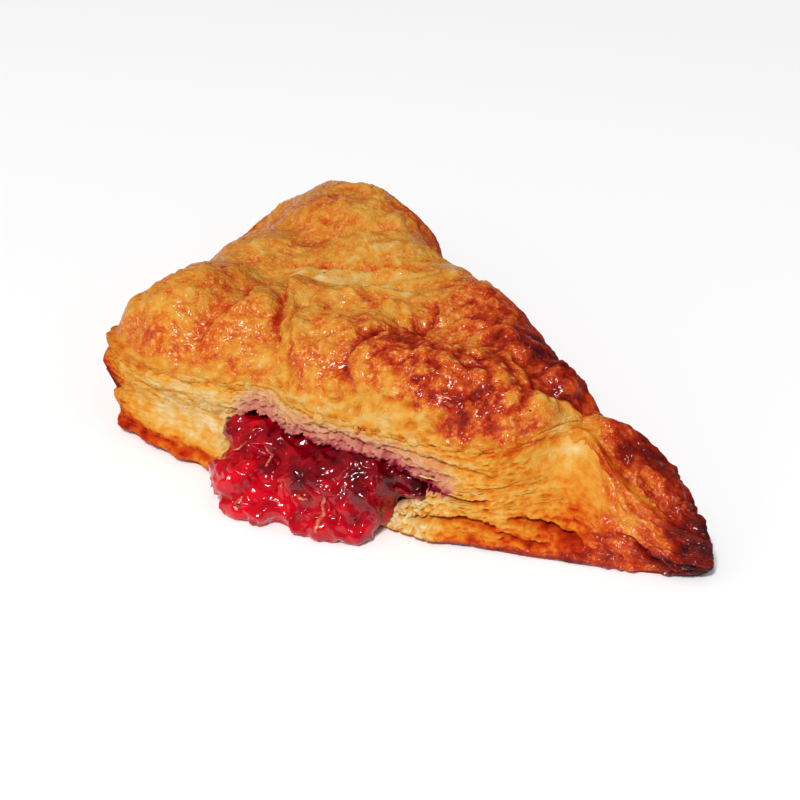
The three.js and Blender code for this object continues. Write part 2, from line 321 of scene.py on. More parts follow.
def dome_height(x, y):
    near, fold, side = [np.maximum(0, d) for d in inside_rim(x, y)]
    rims = rim_heights(x, y)
    to_tip = np.hypot(x - TIP[0], y - TIP[1])
    limits = [
        rims[0] + RIM_CLIMB * (1 - np.exp(-near / RIM_REACH)),
        FOLD_RIM + FOLD_CLIMB * np.sqrt(1 - (1 - clamp01(fold / FOLD_REACH)) ** 2),
        rims[1] + RIM_CLIMB * (1 - np.exp(-side / RIM_REACH)),
        TIP_RIM + TIP_SLOPE * to_tip + TIP_STEP * rise(to_tip, 33, 10),
        np.full(np.shape(x), DOME),
    ]
    return soft_min(limits, 1.8) + pillow_rise(x, y)


print("height in the middle:", round(float(dome_height(np.array(0.0), np.array(0.0))), 1))

# %% [markdown]
# ## Columns and rings
#
# Every surface here is a grid. Its columns stand on the outline and lean over the top to a line in the
# middle, the spine, where a column from the open edge meets its partner from the fold. Its rows are rings.
# A grid made like this follows the thin tip as well as the wide end, and closes without a hole.


# %% Columns of the surface
def make_columns(position, spine_share):
    """Foot, rim and spine points for columns at the given places of the outline."""
    foot, shares, out = outline_at(position)
    inset = shares[:, 0] * rim_inset(foot[:, 0]) + shares[:, 1] + shares[:, 2] * side_inset(foot[:, 1])
    # a sharp tip is narrower than the inset, which would cross the columns there
    inset = inset * (1 - 3.2 * shares[:, 1] * (1 - shares[:, 1]))
    rim = foot - inset[:, None] * out
    end = mix(SPINE_FROM, SPINE_TO, spine_share[:, None])
    near, side = rim_heights(*rim.T)
    height = shares[:, 0] * near + shares[:, 1] * dome_height(*rim.T) + shares[:, 2] * side
    return {"foot": foot, "shares": shares, "out": out, "rim": rim, "end": end, "height": height}


def round_columns(long_count, side_count):
    """Columns all round the outline, and the number of the spine point that each one runs to."""
    near, fold, side = COUNTS
    i = np.arange(long_count + 1)
    back = i[-2::-1]
    position = [near * i / long_count, near + fold * (1 - back / long_count)]
    position.append(near + fold + side * np.arange(1, side_count) / side_count)
    spine = np.concatenate([i, back, np.zeros(side_count - 1, int)])
    return make_columns(np.concatenate(position), spine / long_count), spine


def split_squares(a, b, c, d):
    """Two triangles for each square a, b, c, d."""
    return np.concatenate([np.stack(corners, -1).reshape(-1, 3) for corners in ((a, b, c), (a, c, d))])


def ring_faces(ring_count, spine):
    """Triangles of a grid of rings, with a line of spine points before the first and after the last."""
    n, line = len(spine), int(spine.max()) + 1
    rings = line + np.arange(ring_count * n).reshape(ring_count, n)
    rows = np.vstack([spine[None], rings, (line + ring_count * n + spine)[None]])
    a, b = rows[:-1], np.roll(rows[:-1], -1, axis=1)
    d, c = rows[1:], np.roll(rows[1:], -1, axis=1)
    faces = split_squares(a, b, c, d)
    whole = (faces[:, 0] != faces[:, 1]) & (faces[:, 1] != faces[:, 2]) & (faces[:, 2] != faces[:, 0])
    return faces[whole]


def normals_of(points, faces):
    """The outward direction at each point: the sum of its faces' directions."""
    corners = points[faces]
    across = np.cross(corners[:, 1] - corners[:, 0], corners[:, 2] - corners[:, 0])
    total = np.zeros_like(points)
    for k in range(3):
        for axis in range(3):
            total[:, axis] += np.bincount(faces[:, k], across[:, axis], len(points))
    return total / np.maximum(np.linalg.norm(total, axis=1), 1e-12)[:, None]


def store(mesh, fields):
    """Keeps a number for each point in each named field."""
    for name, values in fields.items():
        mesh.attributes.new(name, "FLOAT", "POINT").data.foreach_set("value", np.asarray(values, np.float32))


def new_object(name, data):
    thing = bpy.data.objects.new(name, data)
    bpy.context.scene.collection.objects.link(thing)
    return thing


def new_piece(name, points, faces, **fields):
    """A smooth-shaded mesh object from millimetre points."""
    mesh = bpy.data.meshes.new(name)
    mesh.vertices.add(len(points))
    mesh.vertices.foreach_set("co", (points * MM).astype(np.float32).ravel())
    mesh.loops.add(faces.size)
    mesh.loops.foreach_set("vertex_index", faces.astype(np.int32).ravel())
    mesh.polygons.add(len(faces))
    mesh.polygons.foreach_set("loop_start", np.arange(0, faces.size, 3, dtype=np.int32))
    mesh.update(calc_edges=True)
    mesh.validate()
    mesh.shade_smooth()
    store(mesh, fields)
    return new_object(name, mesh)


# %% [markdown]
# ## The crust
#
# The crust is the top of the dough, from the lip over the cut edges right round the fold to the surface the
# pastry rests on. It is a shell a few millimetres thick. Its relief starts with wide swells, and hollows
# where the top sank as it cooled. Folds are lines where one sheet of skin slid over the next and stopped
# with a step. Puffs are rounded blisters from one to five millimetres wide with sharp valleys between them:
# the absolute value of noise has just that shape. The finest pebbling is left to the material. Each is a
# rule of the place alone, so partner columns agree where they meet on the spine.

# %% Relief of the crust
# Points of each fold with the upper sheet on its left, and the height of the step.
FOLDS = {
    "left lobe": ([(-18, -9), (-18, -17), (-17, -26), (-19, -32), (-22, -36), (-24, -41)], 1.7),
    "upright": ([(-16, -9), (-11, -22), (-8, -31), (-4, -38)], 2.3),
    "brow": ([(12, 5), (1, 0.5), (-6.5, -3), (-16, -4), (-24, -9)], 1.6),
    "arch": ([(13, -16), (6.5, -17.5), (1, -18), (-4, -20.5), (-6, -26), (-3, -34), (-2, -40)], 2.2),
    "front lobe": ([(27, -33), (19, -24), (16.5, -28), (16, -31), (14, -35), (13, -38), (14, -43)], 2.8),
    "small": ([(13, -14), (17, -10), (21, -13), (20, -17), (21, -26)], 1.5),
    "ridge": ([(50, -22), (44, -19.5), (37.5, -15.5), (31, -13.5), (26, -15), (22, -18)], 1.7),
    "saddle": ([(61, -24), (54.5, -27), (51, -29.5), (50, -34), (50, -38)], 1.6),
    "back": ([(2, 20), (-7, 16), (-11.5, 9), (-17.5, 8), (-24, 3)], 0.5),
    "far": ([(-34, 17), (-27, 14), (-19, 17), (-10, 15)], 0.5),
    "outer": ([(-27, -3), (-27, -16), (-29, -23), (-36, -19)], 0.8),
}
# x, y, half length, how far the top sank as it cooled
SETTLED = [(-27, 32, 16, 1.3), (-34, 8, 10, 1.2), (-39, 21, 8, 2.2), (-40, -28, 12, 0.6), (16, 8, 9, -1.2)]
SETTLED += [(50, -14, 9, 1.7), (70, -28, 8, 0.6)]


def fold_step(x, y, points, height):
    """A step up onto the line's left side: a proud lip that slopes back, over a narrow valley."""
    d, share = line_place(x, y, points)
    lip = 1 / (1 + np.exp(-d / 0.22))
    high = np.exp(-np.maximum(0, d) / 5.0)
    low = -0.9 * np.exp(-np.maximum(0, -d) / 2.0)
    return height * clamp01(5 * share * (1 - share)) * (lip * high + (1 - lip) * low)


def puffs(x, y, z, size, seed):
    """Rounded bumps with sharp valleys, from 0 in the valleys to about 1."""
    return np.abs(noise(x, y, z, size, seed)) * 2.2


WRINKLE_TURN = math.radians(22)


def wrinkles(x, y, z, size, seed):
    """Long soft ridges that lie across the middle of the crust."""
    c, s = math.cos(WRINKLE_TURN), math.sin(WRINKLE_TURN)
    return 0.5 - puffs((x * c + y * s) / 2.6, y * c - x * s, z, size, seed)


def crust_relief(x, y, z):
    """How far the crust stands out, the folds alone, and how high each point is among the small puffs."""
    wx = x + waves(x, y, z, (1.1, 6, 11), (0.45, 2.2, 14))
    wy = y + waves(x, y, z, (1.1, 6, 12), (0.45, 2.2, 15))
    folds = sum(fold_step(wx, wy, points, height) for points, height in FOLDS.values())
    swell = waves(x, y, z, (0.9, 12, 1), (0.55, 5.5, 2))
    sunk = sum(drop * hump(x, px, half) * hump(y, py, half) for px, py, half, drop in SETTLED)
    lobes = hump(x, 33, 23) * hump(y, -32, 15) + 0.8 * rise(x, 58, 8)
    smooth = hump(x, 57, 6) * hump(y, -31, 7)
    crumpled = clamp01(0.16 + 0.5 * noise(x, y, z, 15, 31) + 0.80 * lobes - 0.8 * smooth)
    patchy = clamp01(0.55 + 0.9 * noise(x, y, z, 7, 32))
    wide = puffs(wx, wy, z, 4.8, 41) - 0.45
    small = patchy * (puffs(wx, wy, z, 2.2, 42) - 0.45)
    tiny = puffs(wx, wy, z, 1.3, 43) - 0.45
    middle = hump(x, 8, 26) * hump(y, -14, 17)
    creased = middle * (0.42 * wrinkles(wx, wy, z, 4.5, 44) + 0.2 * wrinkles(wx, wy, z, 2.4, 45))
    relief = folds + swell - sunk + creased + crumpled * (0.78 * wide + 0.32 * small) + 0.10 * tiny
    lumps = mix(0.3, 1.0, crumpled) * (0.60 * wide + 0.34 * small) + 0.20 * tiny + 0.25 * creased
    return relief - 0.2, folds, lumps


# %% Build the crust
LONG_COLUMNS, SIDE_COLUMNS = 340, 150
LIP_ROWS, TOP_RINGS = 18, 90
UNDER_RINGS = (0.8, 0.5, 0.25, 0.12, 0.05)
LIP_THICKNESS, SHORT_LIP, LIP_SINK, SHORT_LIP_SINK = 3.4, 1.5, 1.0, 0.55
SHELL_THICKNESS, SHELL_AT_RIM = 4.5, 2.2
RIM_BLEND, FOLD_BLEND = 5.0, 0.3
# rings crowd together near the rim, where the surface bends most
RING_CROWDING = 1.22
FOLD_TUCK = 3.5
# strides through noise, so that no two leaves or gaps are torn alike
GAP_STRIDE, LEAF_STRIDE = 23.3, 31.7


def tuck(v, top):
    """How far the foot of a wall draws in: 1 at the bottom, 0 from the share `top` of its height up."""
    return (1 - clamp01(v / top)) ** 2


def crust_grid():
    """Points and triangles of the smooth crust, and which points lie on its upper side."""
    columns, spine = round_columns(LONG_COLUMNS, SIDE_COLUMNS)
    foot, rim, out, end, height = [columns[k] for k in ("foot", "rim", "out", "end", "height")]
    x, fold = foot[:, 0], columns["shares"][:, 1]
    # the lip over the cut edge is short, apart from both ends
    short = rise(x, -34, 18) * (1 - 0.6 * rise(x, 54, 10))
    torn = waves(*foot.T, 0, (0.4, 6, 61), (0.35, 1.7, 62))
    start = (1 - mix(LIP_THICKNESS, SHORT_LIP, short) * (1 + torn) / height) * (1 - smooth_step(fold))
    sink = mix(LIP_SINK, SHORT_LIP_SINK, short) * (1 - fold) * (1 - 0.5 * rise(x, 58, 8))
    blend_over = mix(RIM_BLEND + 4.0 * rise(rim[:, 0], 54, 8), FOLD_BLEND, fold)
    blend_over = np.minimum(blend_over, np.hypot(*(end - rim).T))

    def top_ring(a):
        """Places, distance from the rim and heights, the share `a` of the way from the rim to the spine."""
        plan = mix(rim, end, a)
        depth = np.hypot(*(plan - rim).T)
        return plan, depth, mix(height, dome_height(*plan.T), smooth_step(depth / blend_over))

    rings = []
    for a in UNDER_RINGS:
        plan, depth, z = top_ring(a)
        rings.append(np.column_stack([plan, z - mix(SHELL_AT_RIM, SHELL_THICKNESS, clamp01(depth / 10))]))
    for row in np.arange(LIP_ROWS) / LIP_ROWS:
        v = mix(start, 1, row)
        # the lip's lower edge sinks into the wall, so that the crust seems to grow out of the leaves
        relief = -FOLD_TUCK * fold * tuck(v, 0.7) - sink * (1 - smooth_step(1.3 * row))
        rings.append(np.column_stack([mix(foot, rim, v[:, None]) + relief[:, None] * out, height * v]))
    for ring in range(TOP_RINGS):
        plan, _, z = top_ring((ring / TOP_RINGS) ** RING_CROWDING)
        rings.append(np.column_stack([plan, z]))
    plan, _, z = top_ring(1.0)
    line = np.column_stack([plan, z])[: LONG_COLUMNS + 1]
    under = line - [0, 0, SHELL_THICKNESS]
    points = np.vstack([under, *rings, line])
    upper = np.arange(len(points)) >= len(under) + len(UNDER_RINGS) * len(spine)
    return points, ring_faces(len(rings), spine), upper


def rim_relief(x, y, z, height):
    """The crust's relief with the fine forms of its rims, and the fields of them that the browning needs."""
    near_in, fold_in, side_in = inside_rim(x, y)
    cut_in = np.minimum(near_in, side_in)
    clear_of_fold = rise(fold_in, 2, 4)
    along = np.where(near_in < side_in, x, y)
    # towards a cut edge the skin thins out and shows the dough's grain, drawn out along the rim
    near_rim = fall(cut_in, 0, 7) * fall(x, 54, 8) * clear_of_fold
    grain = near_rim * noise(along / 4, 1.1 * cut_in, z / 4, 0.9, 65)
    # a ragged band of it was never brushed with egg
    ragged_in = cut_in + waves(x, y, z, (2.2, 5, 73), (1.2, 1.8, 74))
    pale = fall(ragged_in - 2.8 * hump(x, 20, 20), 0.2, 2.8) * fall(x, 60, 5) * clear_of_fold
    # there torn leaves overlap like shingles, most of all over the mouth
    flaky = pale * mix(0.35, 1.0, hump(x, 18, 30) * (near_in < side_in))
    row = cut_in / 1.3 + waves(along, cut_in, 0, (0.9, 9, 67), (0.35, 2.6, 68))
    torn = spots(along / 2.2, GAP_STRIDE * np.floor(row), 0, 2.4, 66, -0.12, 2.6)
    shingles = (row - np.floor(row)) ** 2 * torn * flaky
    cracks = spots(along / 2.2, 1.3 * cut_in, z / 3, 1.2, 69, 0.16, 2.4) * flaky
    height = height * mix(0.2, 1.0, rise(cut_in, 0.5, 4.0)) + 0.30 * grain + 0.90 * shingles - cracks
    # at the tip the skin bulges over the cut edge
    height = height + 0.4 * rise(x, 61, 7) * fall(x, 84, 5) * hump(near_in, 1.6, 2.0)
    return height, {"pale": pale, "grain": grain, "shingles": shingles, "cracks": cracks}


crust_points, crust_faces, crust_upper = crust_grid()
crust_normals = normals_of(crust_points, crust_faces)
crust_height, crust_folds, crust_puffs = crust_relief(*crust_points.T)
crust_height, rim_fields = rim_relief(*crust_points.T, crust_height)
crust_height = crust_height * crust_upper
crust_points = crust_points + crust_normals * crust_height[:, None]
crust_points[:, 2] = np.maximum(crust_points[:, 2], 0.0)
lowest, highest = crust_height.min().round(2), crust_height.max().round(2)
print("crust:", len(crust_faces), "triangles, relief from", lowest, "to", highest)

# %% [markdown]
# ## Where the crust is brown
#
# Browning is a number from 0, raw cream, to 1, burnt. It is highest where the dough was thin, stood proud
# or was brushed with most egg: the front lobes, the ridge of the fold and the thin tip. The egg runs into
# the valleys between the puffs, so those are browner than the puffs' tops, which stay tan. Close to the cut
# edges the skin was never brushed and stays pale. Painted shade is added to the browning as well: slopes
# that lean away from the lamp, the valleys under the folds and the cracks near the rims are browner. The
# numbers are stored on each point for the material to read.

# %% Browning of the crust
GOLDEN, DARK, DARK_EDGE = 0.40, 0.68, 0.70
# the direction towards the lamp: slopes that lean away from it are made browner, as painted shade
TOWARDS_LAMP = np.array([0.1, -0.5, 0.86])
# browning of the cut open edge, as points (x, browning)
EDGE_BAKE = [(-50, 0.40), (-42, 0.28), (-30, 0.19), (-14, 0.14), (12, 0.12), (30, 0.13), (40, 0.22)]
EDGE_BAKE += [(50, 0.30), (60, 0.31), (68, 0.36), (75, 0.50), (80, 0.62), (85, 0.76), (91, 0.92)]
# x, y, half lengths, how much browner (+) or paler (-)
BROWNED = {
    "front lobe": (22, -33, 13, 10, 0.27),
    "front right lobe": (40, -34, 13, 11, 0.23),
    "front lower edge": (24, -45, 16, 3.0, 0.12),
    "ridge": (45, -18, 14, 8, 0.42),
    "fold slope": (38, -6, 18, 8, 0.30),
    "shoulder": (55, -23, 7, 6, 0.16),
    "tip band": (72, -28, 10, 6, 0.55),
    "front top": (33, -26, 8, 6, -0.05),
    "front low": (33, -42, 10, 5, 0.10),
    "tip": (87, -37, 9, 9, 0.54),
    "left lobe": (-17, -35, 8, 7, 0.05),
    "middle lobe": (2, -40, 9, 4, 0.05),
    "corner": (-48, -33, 4, 7, 0.05),
    "left rim": (-31, -41, 14, 4, 0.12),
    "far puff edge": (-4, 34, 12, 11, 0.14),
    "far puff spot": (-24, 22, 5, 4, 0.14),
    "far puff": (-12, 24, 10, 8, -0.06),
    "back spot": (-19, 5, 6, 4, 0.10),
    "left spot": (-27, -24, 8, 6, 0.10),
    "brow": (4, -7, 15, 8, -0.15),
    "brow end": (-11, -8, 8, 6, -0.08),
    "back": (-4, 8, 18, 10, -0.08),
    "pale patch": (61.0, -32.0, 4.6, 2.0, -0.12),
    "saddle": (56, -31, 5, 5, -0.26),
    "low lobe": (43, -41, 6, 3.5, 0.12),
}


def slowed(bake, dark):
    """Past dark brown, the browning goes on at half speed."""
    return np.where(bake > dark, dark + 0.45 * (bake - dark), bake)


def browning(x, y, z, puff, folds, height):
    bake = GOLDEN + 0.08 * rough(x, y, z, 9, 71)
    for px, py, rx, ry, amount in BROWNED.values():
        bake = bake + amount * hump(x, px, rx) * hump(y, py, ry)
    # the puffs' tops are paler than the valleys, most where the skin is dark and least at the tip
    contrast = 1 + 0.4 * rise(bake, 0.5, 0.15) - 0.9 * rise(x, 60, 6)
    bake = bake - 0.27 * np.clip(puff, -0.5, 0.42) * contrast
    # painted shade: the valley under each fold is browner, and its proud edge caught the heat
    bake = bake + 0.25 * clamp01(-1.1 * folds) + 0.04 * clamp01(folds)
    # painted shade: slopes that lean away from the lamp are browner
    shaded_slope = clamp01(0.80 - normals_of(crust_points, crust_faces) @ TOWARDS_LAMP)
    bake = bake + 0.30 * shaded_slope - 0.03 * np.clip(height, -1.5, 1.5) + 0.05 * noise(x, y, z, 2.5, 72)
    bake = slowed(bake, DARK) + 0.06 * rise(x, 80, 8)
    bake = mix(bake, 0.08 + table_at(x, EDGE_BAKE), 0.85 * rim_fields["pale"])
    # painted shade makes the cracks browner; the grain and the shingles are the dough's own colour
    bake = bake + 0.10 * rim_fields["grain"] + 0.16 * rim_fields["cracks"] - 0.06 * rim_fields["shingles"]
    return bake + 0.08 * fall(z, 0, 8)


crust_bake_and_shade = browning(*crust_points.T, crust_puffs, crust_folds, crust_height)
# the egg wash was brushed on from above, so the back of the fold has hardly any
fold_back = rise(crust_normals[:, :2] @ FOLD_NORMAL, 0.25, 0.45)
crust_glaze = (1 - 0.8 * rim_fields["pale"]) * (1 - 0.9 * fold_back)
crust = new_piece("crust", crust_points, crust_faces, bake=crust_bake_and_shade, glaze=crust_glaze)
print("browning of the crust:", crust_bake_and_shade.min().round(2), "to", crust_bake_and_shade.max().round(2))

# %% [markdown]
# ## The cut edges
#
# A cut edge shows the dough from the side: pale leaves about a millimetre apart, which merge, part and
# curl. The wall is a grid with rows a fifth of a millimetre apart. The leaves are the whole numbers of a
# layer count that drifts slowly up and down along the edge. Between two leaves the wall steps back, by an
# amount that noise sets for each gap, and small holes in the crumb are drawn out along the leaves.

# %% The leaves of dough
LEAF_PITCH = 1.05
EDGE_HEIGHT = 21.0
# Larger gaps, as points (place along X, height out of 21), with half thickness and depth.
GAPS = {
    "low left": ([(30, 3.4), (37, 5.0), (43, 6.0), (49, 4.8)], 0.60, 2.8),
    "low right": ([(50.5, 6.4), (54, 6.0), (59, 4.9), (66, 4.2)], 0.70, 3.6),
    "lower": ([(48, 4.2), (54, 2.9), (60, 2.4)], 0.35, 1.5),
    "from the mouth": ([(34, 10.8), (40, 10.5), (47, 10.0)], 0.35, 1.8),
    "under the rim, left": ([(7, 18.9), (13, 18.6), (21, 18.1)], 0.55, 1.0),
    "under the rim, right": ([(23, 18.8), (30, 18.2), (38, 17.3)], 0.65, 1.2),
    "second": ([(15, 18.0), (23, 17.3), (31, 16.5)], 0.50, 0.8),
    "third": ([(26, 15.8), (33, 15.2), (41, 14.2)], 0.55, 0.9),
    "upper right": ([(33, 17.7), (41, 16.7), (49, 15.2)], 0.65, 1.2),
    "middle right": ([(44, 13.2), (52, 12.7), (60, 12.9)], 0.45, 0.6),
    "tip seam": ([(72, 10.0), (75, 9.8), (78, 8.6), (80, 7.4), (83, 5.6)], 0.70, 1.5),
    "left": ([(-41, 16.0), (-33, 15.6), (-24, 16.8)], 0.50, 0.5),
}


def leaf_pattern(s, w):
    """Relief of the leaves, and how deep in a gap each point lies, from length and height along the edge."""
    layer = w / LEAF_PITCH + 0.9 * noise(s, 1.6 * w, 0, 14, 91)
    layer = layer + waves(s, 2.0 * w, 0, (0.4, 4.5, 92), (0.28, 1.5, 98))
    gap, leaf = GAP_STRIDE * np.floor(layer), LEAF_STRIDE * np.round(layer)
    in_gap = 1 - hump(layer, np.round(layer), 0.26)
    opened = clamp01(waves(s, gap, 0, (0.9, 6, 95), (1.0, 2.0, 96)))
    holes = spots(s / 1.7, 1.25 * w, 0, 0.8, 97, 0.12, 2.2) + spots(s / 2.2, 1.1 * w, 0, 1.5, 101, 0.26, 2.0)
    depth = 0.62 * in_gap * opened + 0.7 * holes
    reach = waves(s, leaf, 0, (1.0, 5, 93), (0.6, 1.6, 94))
    crumb = 0.16 * noise(s, 1.3 * w, 0, 0.9, 99) + 0.10 * noise(s, 1.5 * w, 0, 0.55, 100)
    return 0.18 * reach - 0.36 * depth + crumb, depth


# %% [markdown]
# The opened edge has three special places. Over the filling the lower dough is gone and the wall steps back
# under a ragged lid: the mouth. Left of it the two halves have parted a little, and the wall steps back
# between them, so that the lower one juts out like a tongue. Before the thin tip the wall leans far in, to
# the saddle.

# %% The wall of the cut edges
NEAR_STEPS, SIDE_STEPS, NEAR_ROWS, SIDE_ROWS = 740, 300, 112, 84
MOUTH_DEPTH, MOUTH_FLOOR = 9.0, 1.5
# how far under the rim the wall ends
UNDER_RIM = 0.7
TONGUE = {"x": -28.0, "half": 13.0, "depth": 2.8}
# the lid's lower edge over the mouth, as points (x, height)
LID = [(-17, 10.6), (-14, 13.4), (-8.7, 15.6), (-3.4, 15.0), (0.6, 14.0), (4.6, 15.0), (10, 14.2)]
LID += [(14.3, 14.6), (19.3, 14.5), (24, 14.0), (29.3, 12.9), (34, 11.3), (38, 10.8)]


def lid_height(x):
    return table_at(x, LID) + waves(x, 0, 0, (0.5, 3.2, 81), (0.6, 1.3, 82), (0.3, 0.6, 83))


def mouth_mask(x, z):
    """1 in the mouth: between its two slanting ends, under the lid and over the floor."""
    ends = rise(x + 0.35 * z, -11.5, 2.0) * fall(x - 1.3 * z, 18.5, 2.0)
    return ends * fall(z, lid_height(x), 0.45) * rise(z, MOUTH_FLOOR, 1.5)


def large_gaps(x, w, s):
    wx = x + 0.6 * noise(s, w, 0, 3, 103)
    wy = w + waves(s, w, 0, (0.45, 4, 104), (0.2, 1.3, 105))
    total = 0.0
    for points, thick, deep in GAPS.values():
        d, share = line_place(wx, wy, points)
        total = total + deep * bell(d / thick) * np.sqrt(clamp01(4 * share * (1 - share)))
    return total


def wall_forms(x, v, w, s, near, fold, side):
    """The large forms of the wall, and a field that is 1 on the seam of the shut edge."""
    large = -FOLD_TUCK * fold * tuck(v, 0.7) - 3.2 * rise(fold, 0.55, 0.35)
    # the shut edge still shows its two halves, with a wandering seam between them
    seam = v - 0.47 - 0.06 * noise(s, 0, 0, 17, 118)
    halves = 1.9 * hump(seam, 0.24, 0.17) + 1.5 * hump(seam, -0.22, 0.15) - 2.2 * bell(seam / 0.055)
    halves = halves * (0.75 + 0.7 * noise(s, 0, 0, 13, 128)) - 1.6 * tuck(v, 0.18)
    swell = 1.5 * noise(s, 0.4 * w, 0, 15, 119) + noise(s, 0.8 * w, 0, 6, 120)
    large = large + side * (halves + swell - 0.8)
    # the foot of the dough swells out beside the filling
    large = large + 2.0 * near * hump(x, 34, 7) * hump(v, 0.08, 0.10)
    # where the two sheets meet at the corner, the upper one swells out over a notch, with scallops below
    notch = 0.7 * hump(v, 0.50, 0.10) + 0.6 * hump(v, 0.3, 0.2)
    large = large + bell(s / 9) * (0.2 * hump(v, 0.72, 0.12) - notch)
    large = large + bell(s / 7) * (0.5 * hump(v, 0.36, 0.07) - 0.6 * hump(v, 0.23, 0.05))
    # the lower lip is a double roll with scallops
    outer_roll = 1.4 * hump(w, 1.8, 1.5) * (0.8 + 0.6 * noise(s, 0, 0, 4.6, 113))
    inner_roll = 0.9 * hump(w, 5.0, 1.3) * clamp01(0.45 + 1.6 * noise(s, 0, 0, 6.0, 114))
    lip = near * fall(x, -20, 8)
    large = large + lip * (outer_roll + inner_roll - 0.5 * hump(w, 3.4, 0.7))
    # the tip is a knob
    knob = near * rise(x, 74, 10)
    large = large + knob * (1.6 * hump(v, 0.45, 0.30) - 1.2 * fall(v, 0, 0.22))
    # the last rows hide behind the crust's lip
    hidden = mix(0.8, 0.35, near * rise(x, -34, 18)) * rise(v, 0.94, 0.06)
    return large - hidden, side * bell(seam / 0.07)


def edge_wall(s, v, foot, shares, z):
    """The large forms and the fine relief of the wall, and the fields that its colours need."""
    x = np.broadcast_to(foot[:, 0][None], v.shape)
    near, fold, side = [np.broadcast_to(share[None], v.shape) for share in shares.T]
    w = v * EDGE_HEIGHT
    leaves, depth = leaf_pattern(s, w)
    # the lid over the mouth is steamed crumb, torn open: round holes and hardly any leaves
    far_left = fall(x, -18, 8)
    steamed = 0.92 * near * rise(x, -45, 8) * fall(x, 33, 8)
    steamed = steamed * fall(z - lid_height(x), 2.6 + 9.0 * far_left, 2.6)
    pores = spots(s, 1.2 * w, 0, 1.5, 115, 0.1, 2.4) + 0.6 * spots(s, 1.2 * w, 0, 0.8, 116, 0.1, 2.4)
    pores = pores * (1 - 0.8 * far_left)
    leaves = mix(leaves, 0.5 * rough(s, w, 0, 2.6, 117) - 1.05 * pores, steamed)
    depth = mix(depth, 1.6 * pores, steamed)
    tongue_depth = TONGUE["depth"] * near * hump(x, TONGUE["x"], TONGUE["half"]) * rise(x, -47, 7)
    tongue_depth = tongue_depth * rise(v, 0.12, 0.44) * fall(v, 0.54, 0.34)
    tongue = clamp01(tongue_depth / 2.5) * fall(v, 0.5, 0.1)
    mouth = near * mouth_mask(x, z)
    gaps = near * large_gaps(x, w, s)
    # the leaves fade out on the tongue, at the foot and under the saddle, and burnt dough is lumpy instead
    burnt = near * rise(x, 64, 10)
    layered = (1 - 0.75 * tongue) * (1 - 0.85 * burnt) * (1 - 0.6 * fall(v, 0.05, 0.05))
    layered = layered * (1 - 0.9 * rise(x, 50, 10) * rise(v, 0.40, 0.30))
    lumps = 0.6 * puffs(s, w, 0, 4.0, 106) + 0.16 * puffs(s, w, 0, 1.8, 107) - 0.4
    crumb = 0.35 * noise(s, w, 0, 5, 112) + 0.14 * rough(s, w, 0, 1.0, 111, 2)
    foot_tuck = 0.5 * hump(v, 0.06, 0.05) - 1.1 * tuck(v, 0.10) - 1.6 * fall(x, -24, 10) * tuck(v, 0.16)
    fine = layered * leaves + burnt * lumps + crumb - gaps + foot_tuck
    fine = fine * (near + side) * (1 - 0.6 * mouth) * fall(v, 0.95, 0.05)
    forms, seam = wall_forms(x, v, w, s, near, fold, side)
    fields = {"x": x, "v": v, "w": w, "s": s, "near": near, "depth": depth * layered, "gaps": gaps}
    fields |= {"mouth": mouth, "burnt": burnt, "seam": seam}
    return forms - tongue_depth - MOUTH_DEPTH * mouth, fine, fields


def edge_grid(position, spine_share, row_count):
    """Points of the wall with its back, the wall's points without the fine relief, and its fields."""
    columns = make_columns(position, spine_share)
    foot, rim, out, end, height = [columns[k] for k in ("foot", "rim", "out", "end", "height")]
    v = (np.arange(row_count) / (row_count - 1))[:, None] * np.ones(len(foot))
    z = v * (height - UNDER_RIM)
    s = np.broadcast_to(position * OUTLINE_STEP, v.shape)
    large, fine, fields = edge_wall(s, v, foot, columns["shares"], z)
    plain = np.concatenate([mix(foot, rim, v[..., None]) + large[..., None] * out, z[..., None]], -1)
    wall = plain.copy()
    wall[..., :2] += fine[..., None] * out
    # the back of the wall lies inside the dough: a step under the lip, and two rows deep inside
    reach = np.hypot(*(rim - end).T)
    deep = np.where(columns["shares"][:, 0] > 0.5, 11.5, 6.0)
    inner = rim - out * np.minimum(deep, 0.8 * reach)[:, None]
    behind = rim - out * np.minimum(3.0, 0.5 * reach)[:, None]
    back = [(behind, height - 3.2), (inner, height * 0.8), (mix(inner, rim, 0.1), np.full(len(inner), 0.1))]
    grid = np.concatenate([wall, [np.column_stack(row) for row in back]])
    fields = {k: np.concatenate([f, np.repeat(f[-1:], len(back), axis=0)]) for k, f in fields.items()}
    return grid, plain, fields


def tube_faces(rows, columns):
    """Triangles of a closed loop of rows swept along columns, with both ends shut."""
    index = np.arange(rows * columns).reshape(rows, columns)
    a, b = index[:, :-1], index[:, 1:]
    d, c = np.roll(a, -1, axis=0), np.roll(b, -1, axis=0)
    start, finish = index[:, 0], index[:, -1]
    caps = [[start[-1], start[k + 1], start[k]] for k in range(rows - 2)]
    caps += [[finish[-1], finish[k], finish[k + 1]] for k in range(rows - 2)]
    return np.concatenate([split_squares(a, b, c, d), caps])
